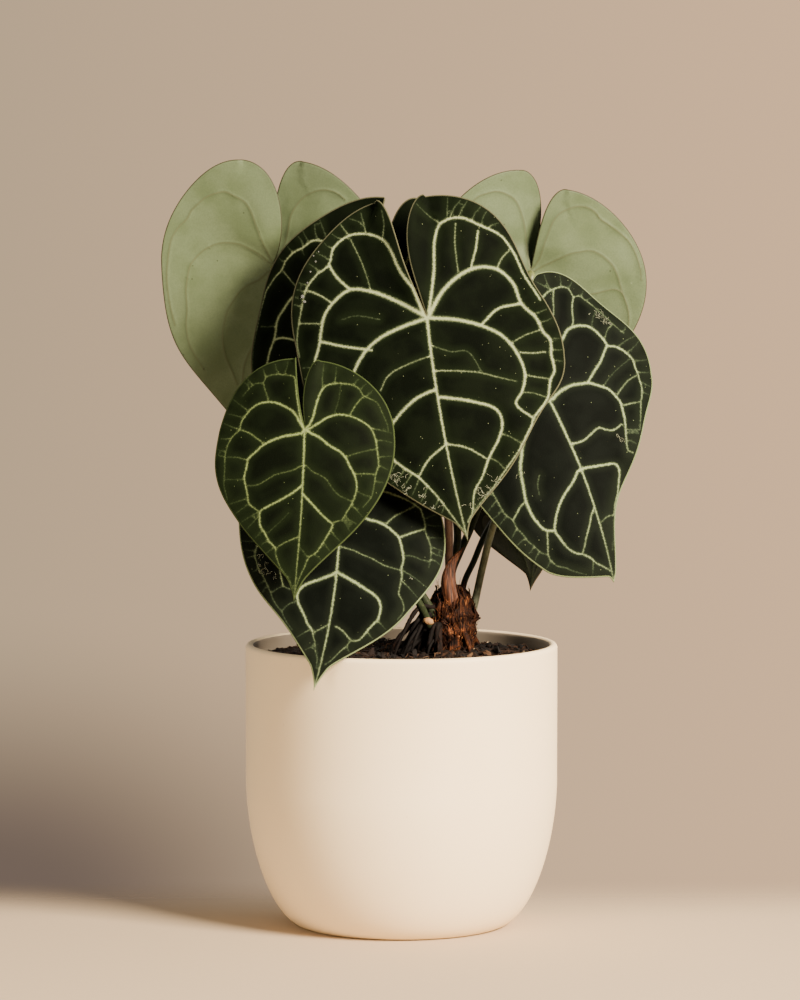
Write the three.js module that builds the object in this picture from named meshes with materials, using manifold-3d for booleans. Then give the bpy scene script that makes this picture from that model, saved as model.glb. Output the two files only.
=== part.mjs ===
// Potted velvet-leaf aroid with heart-shaped, net-veined leaves.
// Millimetres, +Z up. Origin: centre of the pot's flat foot, on the surface it stands on.
// +X is the right of the front view and -Y is the front.

import * as THREE from 'three';
import { mergeVertices } from 'three/addons/utils/BufferGeometryUtils.js';
import Module from 'manifold-3d';

const wasm = await Module();
wasm.setup();

// Driving dimensions of the pot
const POT_HEIGHT = 136;
const POT_RADIUS = 75;          // outer, from the lip down to the turn
const POT_WALL = 4;
const POT_FLOOR = 7;
const FOOT_RADIUS = 48;         // flat standing face
const TURN_HEIGHT = 70;         // below this the wall curves in towards the foot
const TURN_POWER = 1.8;         // 2 would be an ellipse
const LIP_ROUND = 1.9;          // radius of the rounded lip edges
const POT_SEGMENTS = 44;

// Driving dimensions of the potting mix
const CLEARANCE = 0.3;          // gap between pieces that touch
const SOIL_EDGE = 129;          // level at the wall
const SOIL_MOUND = 4.5;         // rise towards the stem
const SOIL_LUMP = 1.6;          // height of the crumbs in the surface
const SOIL_RINGS = 7;

// Driving dimensions of the rootstock: a stubby upright stem clad in old leaf bases
const STOCK_AT = [24.5, 0];     // where the stem stands in the pot
const STOCK_BOTTOM = 112;
const STOCK_SIDES = 16;
const STOCK_RINGS = [           // height above the bottom, half width in X, half width in Y
  [0, 5, 5], [6, 8, 8], [14, 9, 9], [22, 9.2, 9.5], [30, 10.8, 10.5], [37, 11.3, 10.5],
  [44, 9.5, 9], [49, 7, 7], [52, 4, 4],
];
const STOCK_LUMP = 0.7;
const ROOTS = [                 // aerial roots and stubs: path and radii of both ends
  { path: [[31, -3, 146], [35, -4, 147], [38, -4, 148.5]], radii: [1.5, 0.5] },
  { path: [[20, -7, 142], [15, -11, 136], [10, -13, 126]], radii: [1.5, 1] },
  { path: [[29, -7, 144], [32, -11, 137], [34, -13, 125]], radii: [1.4, 0.9] },
  { path: [[30, 5, 143], [36, 9, 136], [39, 11, 126]], radii: [1.5, 1] },
];
// Dry bract that stands up in front of the petioles: centre, half width in X, half width in Y
const BRACT_RINGS = [
  [25, -7, 149, 2.6, 1.4], [24.4, -7.3, 155, 3.4, 1.6], [23, -7.6, 162, 3.5, 1.5],
  [22.6, -7.6, 169, 3.1, 1.2], [24.2, -7.2, 175, 2.2, 0.9], [27.6, -6.5, 180, 1.1, 0.6],
  [29.8, -6, 182.6, 0.4, 0.4],
];
const BRACT_SIDES = 10;

// Driving dimensions of every leaf blade
const BLADE_THICKNESS = 0.8;
const SINUS_START = 1.5;        // blade that reaches past the petiole into the sinus
const SPOKES = 22;              // columns of the blade's grid from the sinus to the tip, each half
const ROWS = [0, 0.3, 0.58, 0.8, 0.9, 1];
const COLLECTING_ROW = 3;       // the row that carries the vein running parallel to the margin
const RIB_RISE = 0.7;           // raised net of the ribs
const WAVE_REACH = 11;          // how far the margin's waves reach into the blade
const CURL_REACH = 6;           // width of the turned-up band along the sinus

// One row of values per leaf, in the blade's own plane. s runs across, t from the petiole to the tip.
// lobe: where the basal lobe ends (s, -t). wide: the widest point (s, t). flank: a point between the
// widest point and the drip tip. lean: how far the sinus edge leans out half way up. ripple: height,
// number and phase in degrees of the margin's waves. tail: length and half width of the drip tip.
const LEAVES = {
  front_centre: {
    joint: [12, -34, 293], tip: [31, -66, 191], face: [0.02, -1, 0.25], tail: [9, 3.6], bend: -2,
    right: { lobe: [9, 61], wide: [61, 29], lean: -6, flank: [50, 52], ripple: [2.4, 4, 289] },
    left: { lobe: [14, 60], wide: [64, 6], lean: 7, flank: [47, 57], ripple: [1.6, 4, 173] },
    droop: 3, arch: 9, curl: 4, lap: 0,
    stalk: [[23, -1, 149], [23.3, -1.5, 162], [22.8, -4, 176], [22.3, -12, 197], [17.5, -27, 245]], thick: 2.0,
  },
  front_left: {
    joint: [-45, -62, 242], tip: [-50, -88, 165], face: [-0.12, -1, 0.2], tail: [10, 4], bend: 1,
    right: { lobe: [5, 34], wide: [42, 8], lean: -3, flank: [35, 32], ripple: [0.8, 3, 0] },
    left: { lobe: [6, 35], wide: [43, 12], lean: 5, flank: [29, 45], ripple: [0.8, 3, 90] },
    droop: 3, arch: 6, curl: 2, lap: 0,
    stalk: [[17, -4, 148], [11, -8, 158], [-2, -13, 182], [-20, -15, 220], [-36, -27, 246], [-43, -41, 243.5]], thick: 1.7,
  },
  low_left: {
    joint: [-29, -42, 215], tip: [-41, -80, 123], face: [-0.1, -1, 0.3], tail: [11, 4], bend: 4,
    right: { lobe: [17, 26], wide: [49, 26], lean: 1, flank: [34, 61], ripple: [0.7, 3, 293] },
    left: { lobe: [20, 28], wide: [51, 11], lean: 1, flank: [38, 50], ripple: [1.6, 3, 100] },
    droop: 3, arch: 6, curl: 1, lap: 0,
    stalk: [[17, -5, 136], [12.5, -8, 147.5], [8.6, -12, 156], [-8, -22, 180], [-22, -32, 205]], thick: 1.8,
  },
  right: {
    joint: [70, -12, 254], tip: [101, -36, 169], face: [0.2, -1, 0.35], tail: [3, 1.5], bend: 3.4,
    right: { lobe: [17, 59], wide: [55, -3], lean: 1, flank: [14, 54], ripple: [2.5, 4, 47] },
    left: { lobe: [21, 53], wide: [54, 21], lean: 1, flank: [31, 78], ripple: [1, 4, 5] },
    droop: 3, arch: 8, curl: 1, lap: 0,
    stalk: [[31, 1, 144], [34.6, 2, 153], [39, 3, 172], [44, 1, 192], [58, -2, 228]], thick: 1.8,
  },
  middle_left: {
    joint: [-10, 0, 290], tip: [-26, -10, 196], face: [-0.15, -1, 0.1], tail: [10, 2.5], bend: -1,
    right: { lobe: [8, 61], wide: [60, 10], lean: -8, flank: [42, 50], ripple: [1.5, 4, 146] },
    left: { lobe: [8, 59], wide: [62, 10], lean: 9, flank: [47, 51], ripple: [1.3, 4, 142] },
    droop: 3, arch: 8, curl: 2, lap: 0,
    stalk: [[18, 3, 149], [21.5, 4, 160], [25, 4.5, 173], [27, 5.5, 188], [22, 8, 215], [10, 9, 240],
      [-3, 7, 268]], thick: 1.9,
  },
  back_left: {
    joint: [-62, 40, 317], tip: [-70, 56, 222], face: [0.05, 1, 0.02], tail: [7, 2.9], bend: -1,
    right: { lobe: [20, 50], wide: [55, 4], lean: -7, flank: [45, 44], ripple: [0.6, 4, 127] },
    left: { lobe: [9, 51], wide: [55, 3], lean: -6, flank: [40, 46], ripple: [0.8, 4, 133] },
    droop: 3, arch: 4, curl: 1, lap: 4,
    stalk: [[19, 6, 134], [14, 10, 143], [5, 15, 162], [-14, 22, 205], [-34, 29, 250], [-53, 35, 292]], thick: 1.9,
  },
  back_right: {
    joint: [63, 44, 314], tip: [51, 58, 223], face: [-0.12, 1, 0.02], tail: [10, 2.5], bend: 0,
    right: { lobe: [11, 48], wide: [52, 3], lean: -6, flank: [40, 46], ripple: [0.8, 3, 240] },
    left: { lobe: [12, 42], wide: [57, 8], lean: 0, flank: [42, 47], ripple: [1, 3, 300] },
    droop: 3, arch: 4, curl: 1, lap: -3.5,
    stalk: [[23, 7.5, 150], [24, 10, 168], [28, 13, 178], [33.5, 18, 190], [51, 31, 240], [61, 38, 285]],
    thick: 1.9,
  },
  low_right: {
    joint: [68, 44, 220], tip: [64, 56, 156], face: [0.2, 1, -0.1], tail: [8, 3], bend: -1,
    right: { lobe: [12, 27], wide: [26, 22], lean: 1, flank: [30, 37], ripple: [0.6, 3, 136] },
    left: { lobe: [12, 26], wide: [31, 10], lean: 1, flank: [13, 37], ripple: [0.8, 3, 114] },
    droop: 2, arch: 3, curl: 1, lap: 0,
    stalk: [[29, 6.5, 148], [30, 8.5, 163], [35, 14, 174], [41, 21, 187], [56, 33, 208]], thick: 1.5,
  },
};

const material = (color, roughness, metalness = 0) =>
  new THREE.MeshStandardMaterial({ color, roughness, metalness });
const LOOKS = {
  ceramic: material(0xf0e3cd, 0.55),
  soil: material(0x30241a, 0.95),
  rootstock: material(0x8a5630, 0.9),
  sheath: material(0x7a5238, 0.85),
  upper: material(0x1d2617, 0.6),
  under: material(0x96a578, 0.65),
  stalk: material(0x5b6b38, 0.55),
  stalkRed: material(0x6e4a30, 0.55),
};

const group = new THREE.Group();
function addNode(name, geometry, look) {
  const mesh = new THREE.Mesh(geometry, look);
  mesh.name = name;
  group.add(mesh);
  return mesh;
}

// Seeded random numbers from 0 to 1
function seeded(seed) {
  let state = seed >>> 0;
  return () => {
    state = (state + 0x6d2b79f5) >>> 0;
    let r = Math.imul(state ^ (state >>> 15), 1 | state);
    r = (r + Math.imul(r ^ (r >>> 7), 61 | r)) ^ r;
    return ((r ^ (r >>> 14)) >>> 0) / 4294967296;
  };
}

// Closed mesh to solid and back
function toSolid(geometry) {
  const g = geometry.clone();
  g.deleteAttribute('normal');
  g.deleteAttribute('uv');
  const m = mergeVertices(g, 1e-4);
  return new wasm.Manifold(new wasm.Mesh({
    numProp: 3,
    vertProperties: new Float32Array(m.attributes.position.array),
    triVerts: new Uint32Array(m.index.array),
  }));
}
function toGeometry(solid) {
  const m = solid.getMesh();
  const g = new THREE.BufferGeometry();
  g.setAttribute('position', new THREE.BufferAttribute(new Float32Array(m.vertProperties), 3));
  g.setIndex(new THREE.BufferAttribute(new Uint32Array(m.triVerts), 1));
  g.computeVertexNormals();
  return g;
}
function meshOf(points, triangles) {
  const g = new THREE.BufferGeometry();
  g.setAttribute('position', new THREE.Float32BufferAttribute(points.flat(), 3));
  g.setIndex(triangles.flat());
  g.computeVertexNormals();
  return g;
}

// Pot: one wall with a rounded lip, a long straight side and a turned-in foot
function outerRadius(z) {
  if (z >= TURN_HEIGHT) return POT_RADIUS;
  const k = (TURN_HEIGHT - z) / TURN_HEIGHT;
  return POT_RADIUS - (POT_RADIUS - FOOT_RADIUS) * (1 - (1 - k ** TURN_POWER) ** (1 / TURN_POWER));
}
const innerRadius = (z) => outerRadius(z) - POT_WALL;
const TURN_STEPS = 10;
const turnHeights = Array.from({ length: TURN_STEPS + 1 },
  (_, i) => TURN_HEIGHT * (1 - Math.cos((i / TURN_STEPS) * Math.PI / 2)));
function potProfile() {
  const p = [new THREE.Vector2(0, 0)];
  for (const z of turnHeights) p.push(new THREE.Vector2(outerRadius(z), z));
  for (let i = 0; i <= 4; i++) {
    const a = (i / 4) * Math.PI;
    const rim = POT_WALL / 2;
    p.push(new THREE.Vector2(POT_RADIUS - rim + rim * Math.cos(a), POT_HEIGHT - LIP_ROUND + LIP_ROUND * Math.sin(a)));
  }
  for (const z of [...turnHeights].reverse()) {
    if (z > POT_FLOOR + 1) p.push(new THREE.Vector2(innerRadius(z), z));
  }
  p.push(new THREE.Vector2(innerRadius(POT_FLOOR) - 1, POT_FLOOR));
  p.push(new THREE.Vector2(0, POT_FLOOR));
  return p;
}
function lathe(profile, segments) {
  const g = new THREE.LatheGeometry(profile, segments);
  g.rotateX(Math.PI / 2);
  return g;
}
addNode('pot', toGeometry(toSolid(lathe(potProfile(), POT_SEGMENTS))), LOOKS.ceramic);

// A loft of rings along a list of centres; each ring is an ellipse with its own radii and lumps
function loft(rings) {
  const sides = rings[0].length;
  const points = rings.flat();
  const triangles = [];
  for (let i = 0; i + 1 < rings.length; i++) {
    for (let k = 0; k < sides; k++) {
      const a = i * sides + k;
      const b = i * sides + (k + 1) % sides;
      triangles.push([a, b, b + sides], [a, b + sides, a + sides]);
    }
  }
  const mean = (ring) => [0, 1, 2].map((c) => ring.reduce((sum, p) => sum + p[c], 0) / sides);
  const first = points.push(mean(rings[0])) - 1;
  const last = points.push(mean(rings[rings.length - 1])) - 1;
  const top = (rings.length - 1) * sides;
  for (let k = 0; k < sides; k++) {
    const next = (k + 1) % sides;
    triangles.push([first, next, k], [last, top + k, top + next]);
  }
  return meshOf(points, triangles);
}
// A round stalk along a smooth path; radius is a function of the share of the length
function stalk(path, radius, sides, steps) {
  const curve = new THREE.CatmullRomCurve3(path.map((p) => new THREE.Vector3(...p)), false, 'centripetal');
  const frames = curve.computeFrenetFrames(steps, false);
  const rings = [];
  for (let i = 0; i <= steps; i++) {
    const at = curve.getPointAt(i / steps);
    const ring = [];
    for (let k = 0; k < sides; k++) {
      const a = (2 * Math.PI * k) / sides;
      const p = at.clone()
        .addScaledVector(frames.normals[i], radius(i / steps) * Math.cos(a))
        .addScaledVector(frames.binormals[i], radius(i / steps) * Math.sin(a));
      ring.push(p.toArray());
    }
    rings.push(ring);
  }
  return loft(rings);
}
const smooth = (x) => {
  const k = Math.min(1, Math.max(0, x));
  return k * k * (3 - 2 * k);
};

// Outline of one half of a blade, from the sinus round the lobe to the tip, as five arcs
const ARC_STEPS = 14;
function arc(points) {
  const curve = new THREE.CubicBezierCurve(...points.map((p) => new THREE.Vector2(...p)));
  return curve.getPoints(ARC_STEPS).map((p) => [p.x, p.y]);
}
function halfOutline(side, length, tail) {
  const [lobeS, lobeT] = side.lobe;
  const [wideS, wideT] = side.wide;
  const [flankS, flankT] = side.flank;
  const [tailLength, tailWidth] = tail;
  const neck = length - tailLength;
  const round = 0.55;           // how full the lobe's corner is
  const pull = 0.36;            // length of the flank's handles
  const chord = Math.hypot(tailWidth - wideS, neck - wideT);
  const dir = [(tailWidth - wideS) / chord, (neck - wideT) / chord];
  const upper = pull * Math.hypot(flankS - wideS, flankT - wideT);
  const lower = pull * Math.hypot(tailWidth - flankS, neck - flankT);
  const turn = [-tailWidth * 0.5, tailLength * 0.35];
  const arcs = [
    [[0, -SINUS_START], [side.lean, -0.42 * lobeT],
      [side.lean + 0.25 * (lobeS - side.lean), -lobeT], [lobeS, -lobeT]],
    [[lobeS, -lobeT], [lobeS + round * (wideS - lobeS), -lobeT],
      [wideS, wideT - round * (wideT + lobeT)], [wideS, wideT]],
    [[wideS, wideT], [wideS, wideT + upper],
      [flankS - dir[0] * upper, flankT - dir[1] * upper], [flankS, flankT]],
    [[flankS, flankT], [flankS + dir[0] * lower, flankT + dir[1] * lower],
      [tailWidth - turn[0], neck - turn[1]], [tailWidth, neck]],
    [[tailWidth, neck], [tailWidth + turn[0], neck + turn[1]],
      [0.5, length - tailLength * 0.3], [0, length]],
  ];
  const line = [];
  arcs.forEach((a, i) => line.push(...arc(a).slice(i ? 1 : 0)));
  const run = [0];
  for (let i = 1; i < line.length; i++) {
    run.push(run[i - 1] + Math.hypot(line[i][0] - line[i - 1][0], line[i][1] - line[i - 1][1]));
  }
  const total = run[run.length - 1];
  const [height, count, phase] = side.ripple;
  const rippled = line.map((p, i) => {
    const before = line[Math.max(0, i - 1)];
    const after = line[Math.min(line.length - 1, i + 1)];
    const tangent = [after[0] - before[0], after[1] - before[1]];
    const size = Math.hypot(...tangent);
    const u = run[i] / total;
    const out = height * Math.sin(2 * Math.PI * count * u + THREE.MathUtils.degToRad(phase)) * Math.sin(Math.PI * u);
    return [p[0] + (tangent[1] / size) * out, p[1] - (tangent[0] / size) * out];
  });
  return { points: rippled, shares: run.map((r) => r / total), sinusShare: run[ARC_STEPS] / total };
}

// Nearest margin point: its distance and its share of the margin's length
function nearMargin(outline, s, t) {
  let best = Infinity;
  let share = 0;
  for (let i = 0; i + 1 < outline.points.length; i++) {
    const [ax, ay] = outline.points[i];
    const [bx, by] = outline.points[i + 1];
    const dx = bx - ax;
    const dy = by - ay;
    const k = Math.min(1, Math.max(0, ((s - ax) * dx + (t - ay) * dy) / (dx * dx + dy * dy + 1e-9)));
    const d = Math.hypot(s - ax - k * dx, t - ay - k * dy);
    if (d < best) {
      best = d;
      share = outline.shares[i] + k * (outline.shares[i + 1] - outline.shares[i]);
    }
  }
  return [best, share];
}

// Height of the blade over its own plane: the midrib's droop, the arch across, the margin's waves,
// the turned-up sinus edges and the lap of one lobe over the other
function bladeHeight(leaf, side, outline, length, s, t, sign) {
  const [edge, share] = nearMargin(outline, s, t);
  const [height, count, phase] = side.ripple;
  let h = -leaf.arch * (s / side.wide[0]) ** 2;
  if (t > 0) h -= leaf.droop * (t / length) ** 2;
  h += 1.3 * height * Math.cos(2 * Math.PI * count * share + THREE.MathUtils.degToRad(phase))
    * Math.sin(Math.PI * share) * Math.exp(-((edge / WAVE_REACH) ** 2)) * smooth(Math.abs(s) / 12);
  if (t < 0) {
    const rise = smooth(-t / 14);
    if (share < outline.sinusShare) h += leaf.curl * Math.exp(-((edge / CURL_REACH) ** 2)) * rise;
    h -= sign * leaf.lap * rise * Math.exp(-((s / 18) ** 2));
  }
  return h;
}

function bladeFrame(leaf) {
  const joint = new THREE.Vector3(...leaf.joint);
  const along = new THREE.Vector3(...leaf.tip).sub(joint);
  const length = along.length();
  along.normalize();
  const normal = new THREE.Vector3(...leaf.face);
  normal.addScaledVector(along, -normal.dot(along)).normalize();
  const across = new THREE.Vector3().crossVectors(normal, along);
  return { joint, along, normal, across, length };
}

// Blade: a grid on each half, its columns running out from the midrib like the lateral veins
const TURN_SPOKE = 0.5;         // share of the margin at which the columns start down the midrib
function blade(leaf) {
  const { joint, along, normal, across, length } = bladeFrame(leaf);
  const points = [];
  const sheet = [];             // triangles of the upper face
  const margin = [];            // margin loops, one per half
  const place = (s, t, h) => {
    const k = Math.min(1, Math.max(0, t / length));
    const shift = s + leaf.bend * 4 * k * (1 - k);
    const p = joint.clone().addScaledVector(across, shift).addScaledVector(along, t)
      .addScaledVector(normal, h);
    return points.push(p) - 1;
  };
  const spine = [];
  const spineAt = (u) => (u <= 0 ? -SINUS_START : length * smooth((u - TURN_SPOKE) / (1 - TURN_SPOKE)) ** 0.8);
  for (const [name, sign] of [['right', 1], ['left', -1]]) {
    const side = leaf[name];
    const outline = halfOutline(side, length, leaf.tail);
    const grid = [];
    for (let i = 0; i <= SPOKES; i++) {
      const u = i / SPOKES;
      let j = 0;
      while (j < outline.shares.length - 2 && outline.shares[j + 1] < u) j++;
      const span = outline.shares[j + 1] - outline.shares[j];
      const k = span > 0 ? (u - outline.shares[j]) / span : 0;
      const rim = [0, 1].map((c) => outline.points[j][c] + k * (outline.points[j + 1][c] - outline.points[j][c]));
      const root = i === 0 ? -SINUS_START : spineAt(u);
      const column = [];
      ROWS.forEach((v, r) => {
        const end = i === 0 || i === SPOKES;
        if ((end && r > 0)) { column.push(column[0]); return; }
        if (r === 0) {
          const key = root.toFixed(4);
          if (!spine.some((e) => e.key === key)) {
            const dip = root > 0 ? -leaf.droop * (root / length) ** 2 : 0;
            spine.push({ key, index: place(0, root, dip) });
          }
          column.push(spine.find((e) => e.key === key).index);
          return;
        }
        // columns bow towards the lobe, as the lateral veins do
        const bow = 0.16 * v * (1 - v);
        const run = [rim[0], rim[1] - root];
        const s = rim[0] * v - bow * Math.abs(run[1]) * 0.4;
        const t = root + run[1] * v - bow * Math.abs(run[0]);
        const inner = v < 1 ? [s, t] : rim;
        let h = bladeHeight(leaf, side, outline, length, inner[0], inner[1], sign);
        if (v < 1 && (i % 3 === 0 || r === COLLECTING_ROW)) h += RIB_RISE;
        column.push(place(sign * inner[0], inner[1], h));
      });
      grid.push(column);
    }
    for (let i = 0; i < SPOKES; i++) {
      for (let r = 0; r + 1 < ROWS.length; r++) {
        const quad = [grid[i][r], grid[i][r + 1], grid[i + 1][r + 1], grid[i + 1][r]];
        for (const t of [[quad[0], quad[1], quad[2]], [quad[0], quad[2], quad[3]]]) {
          if (new Set(t).size === 3) sheet.push(sign > 0 ? t : [t[0], t[2], t[1]]);
        }
      }
    }
    margin.push(grid.map((column) => column[column.length - 1]));
  }
  const count = points.length;
  const half = BLADE_THICKNESS / 2;
  const solidPoints = [
    ...points.map((p) => p.clone().addScaledVector(normal, half).toArray()),
    ...points.map((p) => p.clone().addScaledVector(normal, -half).toArray()),
  ];
  const loop = [...margin[0], ...margin[1].slice(1, -1).reverse()];
  const triangles = [...sheet.map((t) => [t[0], t[1], t[2]]), ...sheet.map((t) => [t[0] + count, t[2] + count, t[1] + count])];
  loop.forEach((a, i) => {
    const b = loop[(i + 1) % loop.length];
    triangles.push([b, a, a + count], [b, a + count, b + count]);
  });
  return outward(meshOf(solidPoints, triangles));
}

// Turns a closed mesh's faces outward
function outward(geometry) {
  const p = geometry.attributes.position;
  const index = geometry.index.array;
  let volume = 0;
  const [a, b, c] = [new THREE.Vector3(), new THREE.Vector3(), new THREE.Vector3()];
  for (let i = 0; i < index.length; i += 3) {
    a.fromBufferAttribute(p, index[i]);
    b.fromBufferAttribute(p, index[i + 1]);
    c.fromBufferAttribute(p, index[i + 2]);
    volume += a.dot(b.cross(c)) / 6;
  }
  if (volume < 0) {
    for (let i = 0; i < index.length; i += 3) [index[i + 1], index[i + 2]] = [index[i + 2], index[i + 1]];
    geometry.computeVertexNormals();
  }
  return geometry;
}

// Petioles: from a socket in the rootstock up to the under side of the blade, thicker at the base
// and with a short swollen joint below the blade
const STALK_SIDES = 8;
const STALK_STEPS = 18;
const SHEATH_SWELL = 0.3;
const JOINT_SWELL = 0.25;
const stalkRadius = (thick, grow = 0) => (k) =>
  grow + thick * (1 + SHEATH_SWELL * (1 - smooth(k / 0.16)) + JOINT_SWELL * smooth((k - 0.9) / 0.05));
function stalkPath(leaf, offset) {
  const { joint, along, normal } = bladeFrame(leaf);
  const end = joint.clone().addScaledVector(normal, -offset).addScaledVector(along, 1);
  return [...leaf.stalk, end.toArray()];
}
const petiole = (leaf, offset) =>
  outward(stalk(stalkPath(leaf, offset), stalkRadius(leaf.thick), STALK_SIDES, STALK_STEPS));
// How far under the blade the petiole's end lies, so that only the clearance is left between them
function seatOffset(leaf, bladeSolid) {
  let near = BLADE_THICKNESS / 2;
  let far = 3 * leaf.thick;
  for (let i = 0; i < 14; i++) {
    const middle = (near + far) / 2;
    const gap = toSolid(petiole(leaf, middle)).minGap(bladeSolid, far);
    if (gap < CLEARANCE) near = middle;
    else far = middle;
  }
  return far;
}
// The hole a petiole stands in: its lowest stretch, grown by the clearance and starting below it
const SOCKET_SHARE = 0.34;
function socket(leaf) {
  const path = stalkPath(leaf, leaf.thick);
  const [a, b] = path.slice(0, 2).map((p) => new THREE.Vector3(...p));
  const below = a.clone().addScaledVector(b.clone().sub(a).normalize(), -CLEARANCE);
  const curve = new THREE.CatmullRomCurve3(path.map((p) => new THREE.Vector3(...p)), false, 'centripetal');
  const points = [below.toArray()];
  for (let i = 1; i <= 6; i++) points.push(curve.getPointAt((i / 6) * SOCKET_SHARE).toArray());
  const wide = leaf.thick * (1 + SHEATH_SWELL) + CLEARANCE;
  return toSolid(outward(stalk(points, () => wide, STALK_SIDES * 2, 12)));
}

// Rootstock, with the petioles' sockets and the bract's pocket cut into it
function stockBody(grow) {
  const random = seeded(7);
  const rings = STOCK_RINGS.map(([height, rx, ry], i) => {
    const ring = [];
    const z = STOCK_BOTTOM + height - (i === 0 ? grow : 0);
    for (let k = 0; k < STOCK_SIDES; k++) {
      const a = (2 * Math.PI * k) / STOCK_SIDES;
      const lump = grow + STOCK_LUMP * (random() * 2 - 1);
      ring.push([STOCK_AT[0] + (rx + lump) * Math.cos(a), STOCK_AT[1] + (ry + lump) * Math.sin(a), z]);
    }
    return ring;
  });
  let body = toSolid(outward(loft(rings)));
  for (const root of ROOTS) {
    const radius = (k) => grow + root.radii[0] + (root.radii[1] - root.radii[0]) * k;
    const tip = root.path[root.path.length - 1];
    const path = [...root.path.slice(0, -1), [tip[0], tip[1], tip[2] - grow]];
    body = body.add(toSolid(outward(stalk(path, radius, 7, 5))));
  }
  return body;
}
function bract(grow) {
  const rings = BRACT_RINGS.map(([x, y, z, rx, ry], i) => {
    const ring = [];
    for (let k = 0; k < BRACT_SIDES; k++) {
      const a = (2 * Math.PI * k) / BRACT_SIDES;
      ring.push([x + (rx + grow) * Math.cos(a), y + (ry + grow) * Math.sin(a), z - (i ? 0 : grow)]);
    }
    return ring;
  });
  return outward(loft(rings));
}
let stock = stockBody(0);
for (const leaf of Object.values(LEAVES)) stock = stock.subtract(socket(leaf));
stock = stock.subtract(toSolid(bract(CLEARANCE)));
addNode('rootstock', toGeometry(largest(stock)), LOOKS.rootstock);
addNode('dry_bract', bract(0), LOOKS.sheath);

// Keeps the largest body of a cut solid and drops the scraps
function largest(solid) {
  const parts = solid.decompose();
  return parts.reduce((best, p) => (p.volume() > best.volume() ? p : best), parts[0]);
}

// Potting mix: fills the pot to its wall, with a crumbly, mounded surface
function soilBody() {
  const random = seeded(19);
  const rings = [];
  const ring = (radius, z, lump) => {
    const points = [];
    for (let k = 0; k < POT_SEGMENTS; k++) {
      const a = (2 * Math.PI * k) / POT_SEGMENTS;
      const dz = typeof z === 'function' ? z(radius * Math.cos(a), radius * Math.sin(a)) : z;
      points.push([radius * Math.cos(a), radius * Math.sin(a), dz + lump * (random() * 2 - 1)]);
    }
    rings.push(points);
  };
  ring(innerRadius(POT_FLOOR) - 3, POT_FLOOR + CLEARANCE, 0);
  for (const z of turnHeights) if (z > POT_FLOOR + 3) ring(innerRadius(z) - CLEARANCE, z, 0);
  const level = (x, y) => SOIL_EDGE
    + SOIL_MOUND * Math.exp(-(((x - STOCK_AT[0]) ** 2 + (y - STOCK_AT[1]) ** 2) / 900));
  ring(POT_RADIUS - POT_WALL - CLEARANCE, level, 0.3);
  for (let i = SOIL_RINGS; i >= 1; i--) {
    ring((POT_RADIUS - POT_WALL - CLEARANCE) * (i / (SOIL_RINGS + 1)), level, SOIL_LUMP);
  }
  return toSolid(outward(loft(rings)));
}
const soil = soilBody().subtract(stockBody(CLEARANCE));
addNode('soil', toGeometry(largest(soil)), LOOKS.soil);

// Leaves: those with the face to the front show the dark upper side, the rest the pale under side
for (const [name, leaf] of Object.entries(LEAVES)) {
  const sheet = blade(leaf);
  addNode(`blade_${name}`, sheet, leaf.face[1] < 0 ? LOOKS.upper : LOOKS.under);
  const offset = seatOffset(leaf, toSolid(sheet));
  addNode(`petiole_${name}`, petiole(leaf, offset), name === 'front_centre' ? LOOKS.stalkRed : LOOKS.stalk);
}

export default group;
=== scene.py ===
"""Potted velvet-leaf aroid: eight heart-shaped, net-veined leaves on petioles, a fibrous rootstock
and a papery bract in bark mix, in a matte cream stoneware pot.

Lengths in the tables are millimetres, +Z up, origin under the middle of the pot, -Y to the front.
"""
import math
import random

import bmesh
import bpy
import numpy as np
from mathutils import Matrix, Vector
from mathutils.bvhtree import BVHTree
from mathutils.geometry import delaunay_2d_cdt


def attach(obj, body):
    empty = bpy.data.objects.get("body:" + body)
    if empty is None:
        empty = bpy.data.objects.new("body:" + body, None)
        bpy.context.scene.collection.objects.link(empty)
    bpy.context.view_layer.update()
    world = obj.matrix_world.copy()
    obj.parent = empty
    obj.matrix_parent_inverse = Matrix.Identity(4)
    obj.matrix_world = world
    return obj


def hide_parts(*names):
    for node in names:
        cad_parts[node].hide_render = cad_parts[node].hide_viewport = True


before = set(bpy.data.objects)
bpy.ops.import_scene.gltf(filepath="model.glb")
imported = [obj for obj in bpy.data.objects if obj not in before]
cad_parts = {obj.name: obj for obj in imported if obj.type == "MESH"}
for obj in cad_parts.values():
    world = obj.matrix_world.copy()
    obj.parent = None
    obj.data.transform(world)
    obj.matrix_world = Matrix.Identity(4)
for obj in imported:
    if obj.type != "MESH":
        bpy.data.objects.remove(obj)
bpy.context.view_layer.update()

MM = 0.001
TURN = 2 * math.pi


def placed(name, data):
    """An object of the scene that shows this mesh, camera or lamp."""
    made = bpy.data.objects.new(name, data)
    bpy.context.scene.collection.objects.link(made)
    return made


def aimed(name, data, at, aim):
    """A camera or a lamp that stands at one point and looks at another, in metres."""
    made = placed(name, data)
    made.location = at
    made.rotation_euler = (Vector(aim) - Vector(at)).to_track_quat("-Z", "Y").to_euler()
    return made


# Camera
CAMERA_AT, CAMERA_AIM = (-0.0007, -2.0, 0.35), (-0.0007, 0.0, 0.2048)
CAMERA_LENS, CAMERA_SENSOR = 150.35, 36
camera = aimed("camera", bpy.data.cameras.new("camera"), CAMERA_AT, CAMERA_AIM)
camera.data.lens, camera.data.sensor_width = CAMERA_LENS, CAMERA_SENSOR
camera.data.clip_start, camera.data.clip_end = 0.05, 50
bpy.context.scene.camera = camera

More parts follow.
